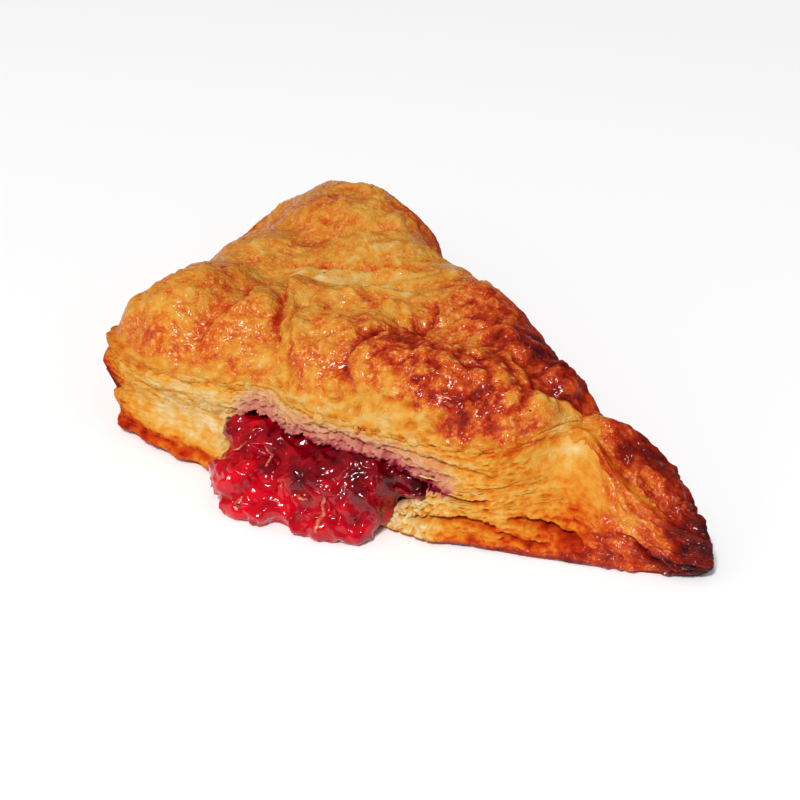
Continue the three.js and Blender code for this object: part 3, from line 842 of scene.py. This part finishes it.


# %% [markdown]
# The cut edge is palest over the mouth, where steam kept it moist, golden towards the tip and the corner,
# and brown at the foot, where it touched the tray. Syrup has soaked into the lid and stained it pink. The
# gaps between the leaves and the band under the crust's lip are browner, as painted shade.


# %% Browning and stains of the cut edges
def edge_browning_and_shade(f):
    x, v, w, s, near, burnt = [f[k] for k in ("x", "v", "w", "s", "near", "burnt")]
    bake = table_at(x, EDGE_BAKE) + 0.07 * (1 - near)
    # from the saddle to the tip the dough is plain, elsewhere its mottling is drawn out along the leaves
    plain = near * rise(x, 48, 10) * rise(v, 0.40, 0.20)
    bake += 0.05 * rough(s, mix(2.5, 1.0, plain) * w, 0, 7, 121)
    bake += 0.05 * (1 - plain) * noise(s / 3, 1.4 * w, 0, 0.8, 122)
    bake += 0.10 * plain * rough(s / 1.6, w, 0, 3.2, 127)
    bake += 0.07 * (1 - 0.7 * plain) * (1 - burnt) * noise(s / 4, 1.5 * w, 0, 1.1, 125)
    bake += 0.18 * burnt * noise(s, w, 0, 5, 123)
    # painted shade: the gaps between leaves, the holes in the crumb and the large gaps are browner
    bake += 0.15 * (f["depth"] - 0.1) + 0.13 * clamp01(f["gaps"]) - 0.10 * f["seam"]
    # painted shade under the crust's lip, least over the mouth
    shade_under_lip = rise(v, 0.86, 0.12) * (1 - 0.6 * hump(x, 12, 22))
    bake += 0.14 * shade_under_lip * (1 - 1.6 * near * rise(x, 56, 8))
    # at the foot, in a band that is widest on the lower lip
    lip = near * fall(x, -20, 8)
    bake += 0.36 * fall(w, 0.5, 1.6) * (1 - burnt) * (1 - 0.75 * lip)
    bake += lip * (0.32 * fall(w, 3.2, 4.0) + 0.10 * hump(w, 3.4, 0.9) + 0.08 * noise(s, w, 0, 3, 126))
    bake += rise(x, 34, 8) * (1 - burnt) * (0.14 * fall(w, 2.5, 4.0) + 0.02 * fall(w, 8, 4))
    bake += near * (0.06 * hump(x, 41, 7) * fall(w, 5, 3) - 0.08 * hump(x, 31, 6) * fall(w, 9, 3))
    bake += near * 0.03 * hump(x, -25, 7) * rise(w, 4, 2) * (1 - 2 * rise(w, 8, 3))
    bake += near * 0.17 * fall(w, 7, 6) * rise(x, 54, 14)
    # a pale patch under the saddle, and a brown one high on the corner
    bake += 0.34 * hump(s, -1, 5) * hump(v, 0.68, 0.10) - 0.20 * hump(x, 61, 4.6) * hump(v, 0.86, 0.08)
    return np.clip(slowed(bake, DARK_EDGE) + 0.08 * near * rise(x, 80, 8), 0, 1)


def syrup_stain(f, z):
    """A strong ragged stain along the lid's torn edge, a wide faint one above it, and the mouth itself."""
    x, s, near = f["x"], f["s"], f["near"]
    above = z - lid_height(x)
    height = np.maximum(0, above)
    over_mouth = near * rise(x, -15, 4) * fall(x, 36, 6)
    ragged = 0.7 + 0.5 * rough(s, 1.5 * z, 0, 2.5, 124, 2)
    strong = 1.3 * ragged * np.exp(-height / (1.1 + 2.1 * rise(x, 2, 14))) * rise(above, -1.4, 0.9)
    faint = 0.46 * bell(height / 6.2) * rise(above, -1.0, 0.8)
    beside = 0.22 * near * hump(x - 1.3 * z, 20.5, 2.2) * fall(above, -1.5, 1.5)
    return clamp01(over_mouth * np.maximum(strong, faint) + beside + f["mouth"])


def edge_piece(name, position, spine_share, row_count):
    """A cut edge as a piece, and its wall's points without the fine relief."""
    grid, plain, fields = edge_grid(position, spine_share, row_count)
    grid[..., 2] = np.maximum(grid[..., 2], 0.0)
    glaze = clamp01(0.9 * fields["burnt"] + 0.7 * fall(fields["w"], 0.8, 1.5))
    stored = {"bake": edge_browning_and_shade(fields), "stain": syrup_stain(fields, grid[..., 2]), "glaze": glaze}
    faces = tube_faces(*grid.shape[:2])
    piece = new_piece(name, grid.reshape(-1, 3), faces, **{k: f.ravel() for k, f in stored.items()})
    print(name + ":", len(faces), "triangles")
    return piece, plain


near_count, _, side_count = COUNTS
near_place = near_count * np.linspace(-0.014, 1.03, NEAR_STEPS + 1)
side_place = side_count * np.linspace(-1.04, 0.03, SIDE_STEPS + 1)
open_edge, open_plain = edge_piece("open_edge", near_place, clamp01(near_place / near_count), NEAR_ROWS)
side_edge, _ = edge_piece("side_edge", side_place, np.zeros(len(side_place)), SIDE_ROWS)

# %% [markdown]
# ## Loose leaves
#
# Some leaves stand out of the cut edge as thin sheets with ragged margins. Each is a line along the wall
# with a flat profile swept along it. Geometry Nodes do the sweep: noise changes the profile's scale from
# point to point, which tears the margin, and a taper thins both ends.


# %% Node tools
def node_group(name, kind, inputs, outputs):
    """A node group with inputs (name, kind of socket, value) and outputs (name, kind of socket)."""
    tree = bpy.data.node_groups.new(name, kind)
    for label, socket, value in inputs:
        made = tree.interface.new_socket(label, in_out="INPUT", socket_type=socket)
        if value is not None:
            made.default_value = value
    for label, socket in outputs:
        tree.interface.new_socket(label, in_out="OUTPUT", socket_type=socket)
    return tree, tree.nodes.new("NodeGroupInput"), tree.nodes.new("NodeGroupOutput")


def plug(tree, node, values):
    """Gives a node's inputs, by name or by number, their values or the outputs that feed them."""
    for key, value in values.items():
        if isinstance(value, bpy.types.NodeSocket):
            tree.links.new(value, node.inputs[key])
        else:
            node.inputs[key].default_value = value
    return node


def add(tree, kind, inputs=None, **settings):
    node = tree.nodes.new(kind)
    for key, value in settings.items():
        setattr(node, key, value)
    return plug(tree, node, inputs or {})


def maths(tree, operation, a, b=0.0):
    return add(tree, "ShaderNodeMath", {0: a, 1: b}, operation=operation).outputs[0]


def times(tree, a, b):
    return maths(tree, "MULTIPLY", a, b)


def swing(tree, value, middle, gain):
    """How far a value is from its middle, times the gain."""
    return times(tree, maths(tree, "SUBTRACT", value, middle), gain)


def finished_mesh(piece):
    """A plain mesh of the piece as its modifiers leave it."""
    graph = bpy.context.evaluated_depsgraph_get()
    return bpy.data.meshes.new_from_object(piece.evaluated_get(graph))


def grow(piece, tree, material, **values):
    """Runs a node tree on a piece with these input values, and keeps the result as its plain mesh."""
    modifier = piece.modifiers.new(tree.name, "NODES")
    modifier.node_group = tree
    values["Material"] = material
    for item in tree.interface.items_tree:
        if item.item_type == "SOCKET" and item.in_out == "INPUT" and item.name in values:
            modifier[item.identifier] = values[item.name]
    mesh, old = finished_mesh(piece), piece.data
    piece.modifiers.remove(modifier)
    piece.data = mesh
    bpy.data.meshes.remove(old)
    mesh.shade_smooth()
    print(piece.name + ":", len(mesh.polygons), "faces")


# %% A tree that sweeps leaves along lines
def leaves_tree():
    shape, number = ("Geometry", "NodeSocketGeometry"), "NodeSocketFloat"
    sizes = [("Width", number, 0.0014), ("Thickness", number, 0.00018), ("Tear", number, 0.9)]
    inputs = [(*shape, None), *sizes, ("Material", "NodeSocketMaterial", None)]
    tree, start, finish = node_group("dough leaves", "GeometryNodeTree", inputs, [shape])
    curve = add(tree, "GeometryNodeMeshToCurve", {"Mesh": start.outputs["Geometry"]})
    level = add(tree, "GeometryNodeSetCurveNormal", {"Curve": curve.outputs[0]}, mode="Z_UP")
    sheet = {"Width": start.outputs["Width"], "Height": start.outputs["Thickness"]}
    profile = add(tree, "GeometryNodeCurvePrimitiveQuadrilateral", sheet)
    place = add(tree, "GeometryNodeInputPosition").outputs[0]
    torn = add(tree, "ShaderNodeTexNoise", {"Vector": place, "Scale": 700.0, "Detail": 2.0}).outputs[0]
    margin = maths(tree, "ADD", swing(tree, torn, 0.5, start.outputs["Tear"]), 0.75)
    along = add(tree, "GeometryNodeSplineParameter").outputs["Factor"]
    ends = times(tree, times(tree, along, maths(tree, "SUBTRACT", 1.0, along)), 9.0)
    taper = maths(tree, "MAXIMUM", maths(tree, "MINIMUM", ends, 1.0), 0.05)
    scale = times(tree, maths(tree, "MAXIMUM", margin, 0.15), taper)
    sweep = {"Curve": level.outputs[0], "Profile Curve": profile.outputs[0], "Scale": scale}
    mesh = add(tree, "GeometryNodeCurveToMesh", {**sweep, "Fill Caps": True})
    solid = add(tree, "GeometryNodeRealizeInstances", {"Geometry": mesh.outputs[0]})
    painted = {"Geometry": solid.outputs[0], "Material": start.outputs["Material"]}
    paint = add(tree, "GeometryNodeSetMaterial", painted)
    plug(tree, finish, {"Geometry": paint.outputs[0]})
    return tree


LEAF_COUNT, LEAF_SEED = 12, 7


def leaf_lines(plain, count, seed):
    """Short lines along the wall to the right of the mouth, where its leaves stand out most."""
    random = np.random.default_rng(seed)
    rows, columns = plain.shape[:2]
    lines = []
    while len(lines) < count:
        row, start = random.uniform(0.06, 0.97) * (rows - 1), int(random.uniform(0, columns - 40))
        length = int(random.uniform(12, 46))
        drift = random.uniform(-0.03, 0.03)
        index = np.arange(start, min(start + length, columns - 1))
        level = np.clip(row + drift * (index - start), 0, rows - 1.001)
        low = level.astype(int)
        line = mix(plain[low, index], plain[low + 1, index], (level - low)[:, None])
        middle = line[len(line) // 2]
        in_mouth = middle[1] < -30 and mouth_mask(middle[:1], middle[2:] - 0.6)[0] > 0.2
        if 34 < middle[0] < 62 and 7 < middle[2] < 16 and not in_mouth:
            line[:, 2] += 0.25 * noise(index * 0.2, row, 0, 2.0, 201)
            lines.append(line)
    return lines


def line_piece(name, lines, **fields):
    """A piece that is only lines, each a chain of points."""
    mesh = bpy.data.meshes.new(name)
    ends = np.cumsum([len(line) for line in lines])
    first = [k for k in range(ends[-1]) if k + 1 not in ends]
    mesh.from_pydata((np.vstack(lines) * MM).tolist(), [(k, k + 1) for k in first], [])
    store(mesh, fields)
    return new_object(name, mesh)


def leaf_fields(x, y, z):
    bake = table_at(x, EDGE_BAKE) + 0.05 * noise(x, y, z, 4, 202) + 0.30 * fall(z, 0.6, 2.0)
    stain = 0.6 * hump(z, lid_height(x), 1.2) * rise(x, -12, 4) * fall(x, 34, 4)
    return {"bake": bake, "stain": stain * (y < -30), "glaze": 0 * x}


# %% [markdown]
# ## The base
#
# The underside rests flat. It is a thin plate inside the outline, browned by the tray.

# %% Build the base
BASE_RINGS, BASE_THICKNESS = 26, 1.4
BASE_COLUMNS, BASE_SIDE_COLUMNS = 150, 80
# how far the base stands in from the outline, and how much farther under the round fold
BASE_INSET, FOLD_INSET = 0.9, 2.8


def base_grid():
    columns, spine = round_columns(BASE_COLUMNS, BASE_SIDE_COLUMNS)
    inset = BASE_INSET + FOLD_INSET * columns["shares"][:, 1]
    foot = columns["foot"] - inset[:, None] * columns["out"]

    def level(plan, z):
        return np.column_stack([plan, np.full(len(plan), z)])

    shares = np.arange(BASE_RINGS - 1, -1, -1) / BASE_RINGS
    rings = [level(mix(foot, columns["end"], share), 0.0) for share in shares]
    rings.append(level(mix(foot, columns["end"], 0.05), BASE_THICKNESS))
    line = mix(SPINE_FROM, SPINE_TO, np.linspace(0, 1, BASE_COLUMNS + 1)[:, None])
    return np.vstack([level(line, 0.0), *rings, level(line, BASE_THICKNESS)]), ring_faces(len(rings), spine)


base_points, base_faces = base_grid()
base_x, base_y, base_z = base_points.T
pits = spots(base_x, base_y, 0, 7, 131, 0.1, 1.0)
base_points[:, 2] += 0.45 * pits * (base_z < 0.5)
base_bake = 0.56 + 0.12 * rough(base_x, base_y, 0, 12, 132) - 0.25 * pits + 0.3 * rise(base_x, 66, 20)
base = new_piece("base", base_points, base_faces, bake=base_bake, glaze=0.3 + 0 * base_x)
print("base:", len(base_faces), "triangles")

# %% [markdown]
# ## The filling
#
# Cooked fruit is a heap of soft lumps in syrup. A few large lumps give the form that has run out of the
# mouth. A voxel remesh melts them into one skin, and noise gives it folds, tags and a fine grain.

# %% The lumps
# middle and half sizes
LUMPS = {
    "under the lid, left": ((-6, -44, 11), (9, 6, 4.5)),
    "under the lid, right": ((18, -46, 10.5), (15, 7, 4.5)),
    "left": ((-5.8, -51.2, 5.6), (8.2, 8.6, 6.8)),
    "left foot": ((-1, -53.2, 2.5), (10, 8.2, 5.5)),
    "middle": ((10, -51, 7), (9, 7.5, 6.4)),
    "middle foot": ((12, -53.8, 2), (10, 7, 5.5)),
    "right": ((20.5, -50.2, 6), (7.5, 7.4, 6.9)),
    "wedge": ((27, -47.0, 9.9), (7, 5.6, 3.0)),
    "right foot": ((19, -53, 2), (6.8, 6.8, 5)),
    "pocket": ((10, -22, 10.6), (34, 29, 5.2)),
}
# every lump is this much smaller, to leave room for the relief
LUMP_MARGIN = 0.3
VOXEL, SMOOTH_ROUNDS = 0.42, 8


def ball(detail):
    """A unit ball's points and faces."""
    mesh = bpy.data.meshes.new("ball")
    shape = bmesh.new()
    bmesh.ops.create_icosphere(shape, subdivisions=detail, radius=1.0)
    shape.to_mesh(mesh)
    shape.free()
    points = np.array([v.co[:] for v in mesh.vertices])
    faces = np.array([f.vertices[:] for f in mesh.polygons])
    bpy.data.meshes.remove(mesh)
    return points, faces


def melted(name, shapes, voxel):
    """One skin round several balls, as points in millimetres and triangles."""
    unit, unit_faces = ball(5)
    points, faces = [], []
    for k, (at, half) in enumerate(shapes):
        points.append(np.array(at) + unit * np.array(half))
        faces.append(unit_faces + k * len(unit))
    piece = new_piece(name, np.vstack(points), np.vstack(faces))
    modifier = piece.modifiers.new("melt", "REMESH")
    modifier.mode = "VOXEL"
    modifier.voxel_size = voxel * MM
    mesh = finished_mesh(piece)
    bpy.data.objects.remove(piece)
    mesh.calc_loop_triangles()
    flat = np.empty(len(mesh.vertices) * 3, np.float32)
    mesh.vertices.foreach_get("co", flat)
    corners = np.empty(len(mesh.loop_triangles) * 3, np.int32)
    mesh.loop_triangles.foreach_get("vertices", corners)
    bpy.data.meshes.remove(mesh)
    return flat.reshape(-1, 3).astype(float) / MM, corners.reshape(-1, 3)


def smoothed(points, faces, rounds):
    """Points moved towards the middle of their neighbours."""
    edges = np.vstack([faces[:, [0, 1]], faces[:, [1, 2]], faces[:, [2, 0]]])
    count = np.bincount(edges[:, 0], minlength=len(points)).astype(float)[:, None]
    for _ in range(rounds):
        total = [np.bincount(edges[:, 0], axis[edges[:, 1]], len(points)) for axis in points.T]
        points = mix(points, np.column_stack(total) / count, 0.5)
    return points


def jam_relief(x, y, z):
    """Folds that hang down, torn pieces of fruit, and a fine grain."""
    wx = x + waves(x, y, z, (2.2, 6, 141), (0.9, 2.6, 146))
    wz = z + waves(x, y, z, (1.8, 5, 142), (0.8, 2.3, 147))
    hanging = 0.45 - puffs(wx, y, 0.4 * wz, 5.6, 143)
    torn = 0.45 - puffs(wx, y, 0.7 * wz, 2.6, 148)
    tags = clamp01(2.2 * noise(x, y, z, 2.4, 149) - 0.7) * fall(x, -8, 6)
    hollow = hump(x, 28.5, 3.2) * hump(z, 11.0, 2.2) * hump(y, -52, 5)
    pieces = 0.85 * hanging + 0.24 * torn + 0.50 * noise(wx, y, wz, 3.4, 144)
    return pieces + 0.45 * tags - 2.4 * hollow + 0.03 * rough(x, y, z, 1.2, 145, 2)


balls = [(at, np.array(half) - LUMP_MARGIN) for at, half in LUMPS.values()]
jam_points, jam_faces = melted("lumps", balls, VOXEL)
jam_points = smoothed(jam_points, jam_faces, SMOOTH_ROUNDS)
jam_height = jam_relief(*jam_points.T)
jam_points = jam_points + normals_of(jam_points, jam_faces) * jam_height[:, None]
jam_points[:, 2] = np.maximum(jam_points[:, 2], 0.02)
jam_x, _, jam_z = jam_points.T
# painted light: the filling is darker high up under the lid, which shades it, brighter at its thin left end,
# where light shines through, and darker at its right end
jam_painted_light = clamp01((lid_height(jam_x) - 1.5 - jam_z) / 6.0)
jam_painted_light = jam_painted_light + 0.5 * hump(jam_x, -9, 8) - 0.35 * rise(jam_x, 12, 14)
filling = new_piece("filling", jam_points, jam_faces, light=jam_painted_light)
print("filling:", len(jam_faces), "triangles")

# %% [markdown]
# ## Finishes
#
# The dough materials read the stored browning, with its painted shade, and turn it into colour with one
# ramp, from cream through gold to burnt. Light goes a little way into dough and much further into fruit, so
# both scatter light inside.


# %% A browning ramp shared by the dough materials
def linear(red, green, blue):
    """A screen colour, 0 to 255, as the light values that shaders use."""
    values = [c / 255 for c in (red, green, blue)]
    return [c / 12.92 if c <= 0.04045 else ((c + 0.055) / 1.055) ** 2.4 for c in values] + [1.0]


BAKE_STOPS = [
    (0.00, (216, 194, 150)),
    (0.14, (206, 170, 106)),
    (0.28, (206, 147, 56)),
    (0.42, (199, 116, 28)),
    (0.54, (190, 76, 12)),
    (0.66, (168, 40, 6)),
    (0.78, (124, 22, 8)),
    (0.90, (72, 12, 14)),
    (1.00, (30, 8, 12)),
]


def colour_ramp(tree, value, stops):
    ramp = add(tree, "ShaderNodeValToRGB", {"Fac": value})
    elements = ramp.color_ramp.elements
    while len(elements) < len(stops):
        elements.new(0.5)
    for element, (position, colour) in zip(elements, stops):
        element.position = position
        element.color = linear(*colour)
    return ramp.outputs["Color"]


def blend(tree, amount, first, second):
    return add(tree, "ShaderNodeMix", {0: amount, 6: first, 7: second}, data_type="RGBA").outputs[2]


def ranged(tree, value, low, high, to_low=0.0, to_high=1.0):
    values = {"Value": value, "From Min": low, "From Max": high, "To Min": to_low, "To Max": to_high}
    return add(tree, "ShaderNodeMapRange", values).outputs["Result"]


def grain_noise(tree, scale, detail=2.0, roughness=0.55):
    """Noise fixed to the object, with `scale` features a metre."""
    place = add(tree, "ShaderNodeTexCoord").outputs["Object"]
    values = {"Vector": place, "Scale": scale, "Detail": detail, "Roughness": roughness}
    return add(tree, "ShaderNodeTexNoise", values).outputs["Fac"]


def bumped(tree, height, strength, distance):
    """Normals that lean as if the surface had this height."""
    values = {"Strength": strength, "Distance": distance, "Height": height}
    return add(tree, "ShaderNodeBump", values).outputs["Normal"]


PALE_BUBBLE_AND_GLINT, DARK_SPECK = linear(234, 174, 104), linear(60, 22, 16)
SYRUP_STOPS = [(0.1, (194, 150, 118)), (0.45, (186, 112, 100)), (0.70, (150, 36, 56)), (0.95, (108, 8, 28))]


def baked_dough_group():
    """Browning to colour, with mottling, tiny pale specks in the glaze that are partly bubbles and partly
    painted glints, dark specks and syrup stains.
    """
    number = "NodeSocketFloat"
    inputs = [("Bake", number, 0.4), ("Glaze", number, 1.0), ("Stain", number, 0.0)]
    outputs = [("Color", "NodeSocketColor"), ("Roughness", number), ("Height", number)]
    tree, start, finish = node_group("baked dough", "ShaderNodeTree", inputs, outputs)
    bake, glaze, stain = [start.outputs[k] for k in ("Bake", "Glaze", "Stain")]
    total = maths(tree, "ADD", bake, swing(tree, grain_noise(tree, 400.0, 4.0, 0.6), 0.47, 0.46))
    fine = grain_noise(tree, 2300.0, 2.0)
    # pale specks of two sizes, most in golden dough and none in burnt dough: partly tiny bubbles, partly
    # painted glints
    small = ranged(tree, fine, 0.50, 0.68, 0.0, 0.34)
    larger = ranged(tree, grain_noise(tree, 1000.0, 1.0), 0.54, 0.68, 0.0, 0.55)
    golden, dark = ranged(tree, total, 0.36, 0.48, 0.4, 1.0), ranged(tree, total, 0.50, 0.76, 1.0, 0.0)
    bubbles_and_glints = times(tree, maths(tree, "MAXIMUM", small, larger), maths(tree, "MINIMUM", golden, dark))
    frosted_and_glinting = blend(tree, times(tree, bubbles_and_glints, glaze), colour_ramp(tree, total, BAKE_STOPS), PALE_BUBBLE_AND_GLINT)
    specks = ranged(tree, grain_noise(tree, 620.0, 0.0), 0.875, 0.89)
    speckled = blend(tree, times(tree, specks, glaze), frosted_and_glinting, DARK_SPECK)
    stained = blend(tree, ranged(tree, stain, 0.05, 0.45), speckled, colour_ramp(tree, stain, SYRUP_STOPS))
    dull = maths(tree, "SUBTRACT", 0.66, times(tree, glaze, 0.26))
    dull = maths(tree, "ADD", dull, swing(tree, fine, 0.5, 0.3))
    height = maths(tree, "ADD", times(tree, fine, 0.7), grain_noise(tree, 1100.0, 3.0, 0.6))
    plug(tree, finish, {"Color": stained, "Roughness": dull, "Height": height})
    return tree


baked_dough = baked_dough_group()


# %% The materials
def new_material(name):
    material = bpy.data.materials.new(name)
    material.use_nodes = True
    tree = material.node_tree
    return material, tree, tree.nodes["Principled BSDF"]


def field(tree, name):
    return add(tree, "ShaderNodeAttribute", attribute_name=name).outputs["Fac"]


def dough_material(name, bump_distance, scatter, coat, shine):
    """Dough with a thin coat of egg wash where the stored glaze says so."""
    material, tree, shader = new_material(name)
    stored = {label: field(tree, label.lower()) for label in ("Bake", "Glaze", "Stain")}
    baked = add(tree, "ShaderNodeGroup", stored, node_tree=baked_dough).outputs
    finish = {
        "Base Color": baked["Color"],
        "Roughness": baked["Roughness"],
        "Normal": bumped(tree, baked["Height"], 0.7, bump_distance),
        "Subsurface Weight": scatter,
        "Subsurface Radius": (1.0, 0.45, 0.16),
        "Subsurface Scale": 0.0015,
        "Specular IOR Level": shine,
        "Coat Weight": times(tree, field(tree, "glaze"), coat),
        "Coat Normal": bumped(tree, grain_noise(tree, 950.0, 0.0), 0.9, 0.00042),
        "Coat Roughness": 0.14,
        "Coat IOR": 1.35,
    }
    plug(tree, shader, finish)
    return material


def jam_material():
    """Red pulp under a clear coat of syrup, whose own coarser bumps break its reflections into glints."""
    material, tree, shader = new_material("fruit filling")
    # the stored painted light darkens the fruit under the lid and brightens its thin left end
    clump_and_painted_light = maths(tree, "ADD", grain_noise(tree, 240.0, 4.0, 0.6), times(tree, field(tree, "light"), 0.26))
    colour = colour_ramp(tree, clump_and_painted_light, [(0.34, (60, 0, 8)), (0.56, (126, 0, 16)), (0.90, (200, 0, 24))])
    pulp = ranged(tree, grain_noise(tree, 330.0, 3.0, 0.65), 0.68, 0.78, 0.0, 0.30)
    finish = {
        "Base Color": blend(tree, pulp, colour, linear(214, 84, 66)),
        "Roughness": 0.12,
        "Normal": bumped(tree, grain_noise(tree, 600.0, 2.0, 0.5), 0.4, 0.0005),
        "Subsurface Weight": 0.4,
        "Subsurface Radius": (1.0, 0.06, 0.08),
        "Subsurface Scale": 0.003,
        "Specular IOR Level": 0.06,
        "Coat Weight": 1.0,
        "Coat Normal": bumped(tree, grain_noise(tree, 420.0, 0.0), 1.0, 0.00064),
        "Coat Roughness": 0.10,
        "Coat IOR": 1.42,
    }
    plug(tree, shader, finish)
    return material


crust_finish = dough_material("egg-washed crust", 0.00055, 0.10, 0.55, 0.03)
leaf_finish = dough_material("dough leaves", 0.0003, 0.20, 0.60, 0.05)
finishes = [(crust, crust_finish), (base, crust_finish), (open_edge, leaf_finish), (side_edge, leaf_finish)]
for piece, finish in [*finishes, (filling, jam_material())]:
    piece.data.materials.append(finish)

# %% Sweep the loose leaves
sweep_leaves = leaves_tree()
lines = leaf_lines(open_plain, LEAF_COUNT, LEAF_SEED)
leaves = line_piece("leaves", lines, **leaf_fields(*np.vstack(lines).T))
grow(leaves, sweep_leaves, leaf_finish, Width=0.9 * MM, Thickness=0.14 * MM)

# %% [markdown]
# ## Fibres of the fruit
#
# A few tan fibres and scraps lie on the syrup. They are swept along short lines by the same tree as the
# leaves. Each line is given by places along X and heights, and each of its points moves to the skin of the
# filling.

# %% Sweep the fibres
FIBRES = {
    "long": [(14.7, 8.6), (14.2, 6.9), (15.1, 5.5), (14.6, 3.6), (15.2, 2.1)],
    "left": [(-2.6, 12.0), (-1.0, 11.0), (-0.2, 9.9)],
    "low left": [(-2.7, 5.2), (-3.7, 4.1), (-3.2, 3.0)],
    "upper left": [(-6.6, 12.6), (-7.6, 11.4), (-9.2, 11.0)],
    "scrap": [(9.2, 8.4), (10.4, 7.7), (11.7, 7.9)],
    "small": [(4.6, 9.6), (5.2, 8.8), (5.0, 8.0)],
}


def fibre_lines():
    """The lines, each of their points moved to the nearest place on the front of the filling's skin."""
    normals = normals_of(jam_points, jam_faces)
    front = normals[:, 1] < -0.25
    skin, out = jam_points[front], normals[front]
    lines = []
    for line in FIBRES.values():
        steps = rounded(line, 2)
        apart = [(skin[:, 0] - x) ** 2 + (skin[:, 2] - z) ** 2 + 0.02 * skin[:, 1] for x, z in steps]
        near = np.argmin(apart, axis=1)
        lines.append(skin[near] + 0.05 * out[near])
    return lines


def fibre_material():
    material, tree, shader = new_material("fruit fibre")
    colour = colour_ramp(tree, grain_noise(tree, 500.0), [(0.35, (166, 40, 34)), (0.6, (208, 112, 78))])
    plug(tree, shader, {"Base Color": colour, "Roughness": 0.25})
    return material


fibres = line_piece("fibres", fibre_lines())
grow(fibres, sweep_leaves, fibre_material(), Width=1.3 * MM, Thickness=0.25 * MM, Tear=1.6)

# %% [markdown]
# ## Into the frame
#
# Every piece rides on the one body of the solid model, and the solid that it stands for is hidden.

# %% Hang the pieces on the frame
for piece in (crust, open_edge, side_edge, base, leaves):
    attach(piece, "root")
    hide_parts("pastry")
for piece in (filling, fibres):
    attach(piece, "root")
    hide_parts("filling")

# %% [markdown]
# ## Floor, light and camera
#
# A pale floor and one lamp over the viewer's left shoulder, in a white room that fills the shadows. The
# lamp is small enough for crisp glints on syrup and egg wash, and reflections see the room at a third of
# its strength, which keeps them from looking milky. The camera looks down by 30 degrees, from 25 degrees
# round to the right of the open edge.


# %% Floor and lights
def studio_floor(size=3.0):
    mesh = bpy.data.meshes.new("floor")
    corners = [(-size, -size, 0), (size, -size, 0), (size, size, 0), (-size, size, 0)]
    mesh.from_pydata(corners, [], [(0, 1, 2, 3)])
    material, tree, shader = new_material("pale floor")
    plug(tree, shader, {"Base Color": (0.94, 0.94, 0.94, 1), "Roughness": 0.8})
    mesh.materials.append(material)
    floor = new_object("floor", mesh)
    floor.location.z = -0.2 * MM


def aim(thing, at, target):
    """Puts a lamp or camera at a place and points it at another."""
    thing.location = at
    thing.rotation_euler = (Vector(target) - Vector(at)).to_track_quat("-Z", "Y").to_euler()


def room_light(bright_side):
    """A white room that is brightest on one side, and dimmer in reflections."""
    world = bpy.data.worlds.new("studio")
    bpy.context.scene.world = world
    world.use_nodes = True
    tree = world.node_tree
    direction = add(tree, "ShaderNodeTexCoord").outputs["Generated"]
    towards = add(tree, "ShaderNodeVectorMath", {0: direction, 1: bright_side}, operation="DOT_PRODUCT")
    reflected = add(tree, "ShaderNodeLightPath").outputs["Is Glossy Ray"]
    strength = ranged(tree, towards.outputs["Value"], -0.7, 0.8, 0.08, 0.56)
    strength = times(tree, strength, ranged(tree, reflected, 0, 1, 1.0, 0.35))
    plug(tree, tree.nodes["Background"], {"Color": (1, 1, 1, 1), "Strength": strength})


LAMP_AT, LAMP_TARGET, LAMP_SIZE, LAMP_WATTS = (0.30, -2.04, 2.40), (0.015, -0.01, 0.015), 0.55, 88.0
BRIGHT_SIDE = Vector((-0.15, -0.75, 0.65))
studio_floor()
lamp = bpy.data.lights.new("key lamp", "AREA")
lamp.shape, lamp.size, lamp.energy = "DISK", LAMP_SIZE, LAMP_WATTS
aim(new_object("key lamp", lamp), LAMP_AT, LAMP_TARGET)
room_light(BRIGHT_SIDE)
bpy.context.scene.view_settings.view_transform = "Standard"

# %% Camera
CAMERA_AT, CAMERA_TARGET, FOCAL_LENGTH = (0.1715, -0.35354, 0.225), (0.00561, -0.0009, 0.0), 89.1
lens = bpy.data.cameras.new("camera")
lens.sensor_width, lens.lens, lens.clip_start = 36.0, FOCAL_LENGTH, 0.01
camera = new_object("camera", lens)
aim(camera, CAMERA_AT, CAMERA_TARGET)
bpy.context.scene.camera = camera
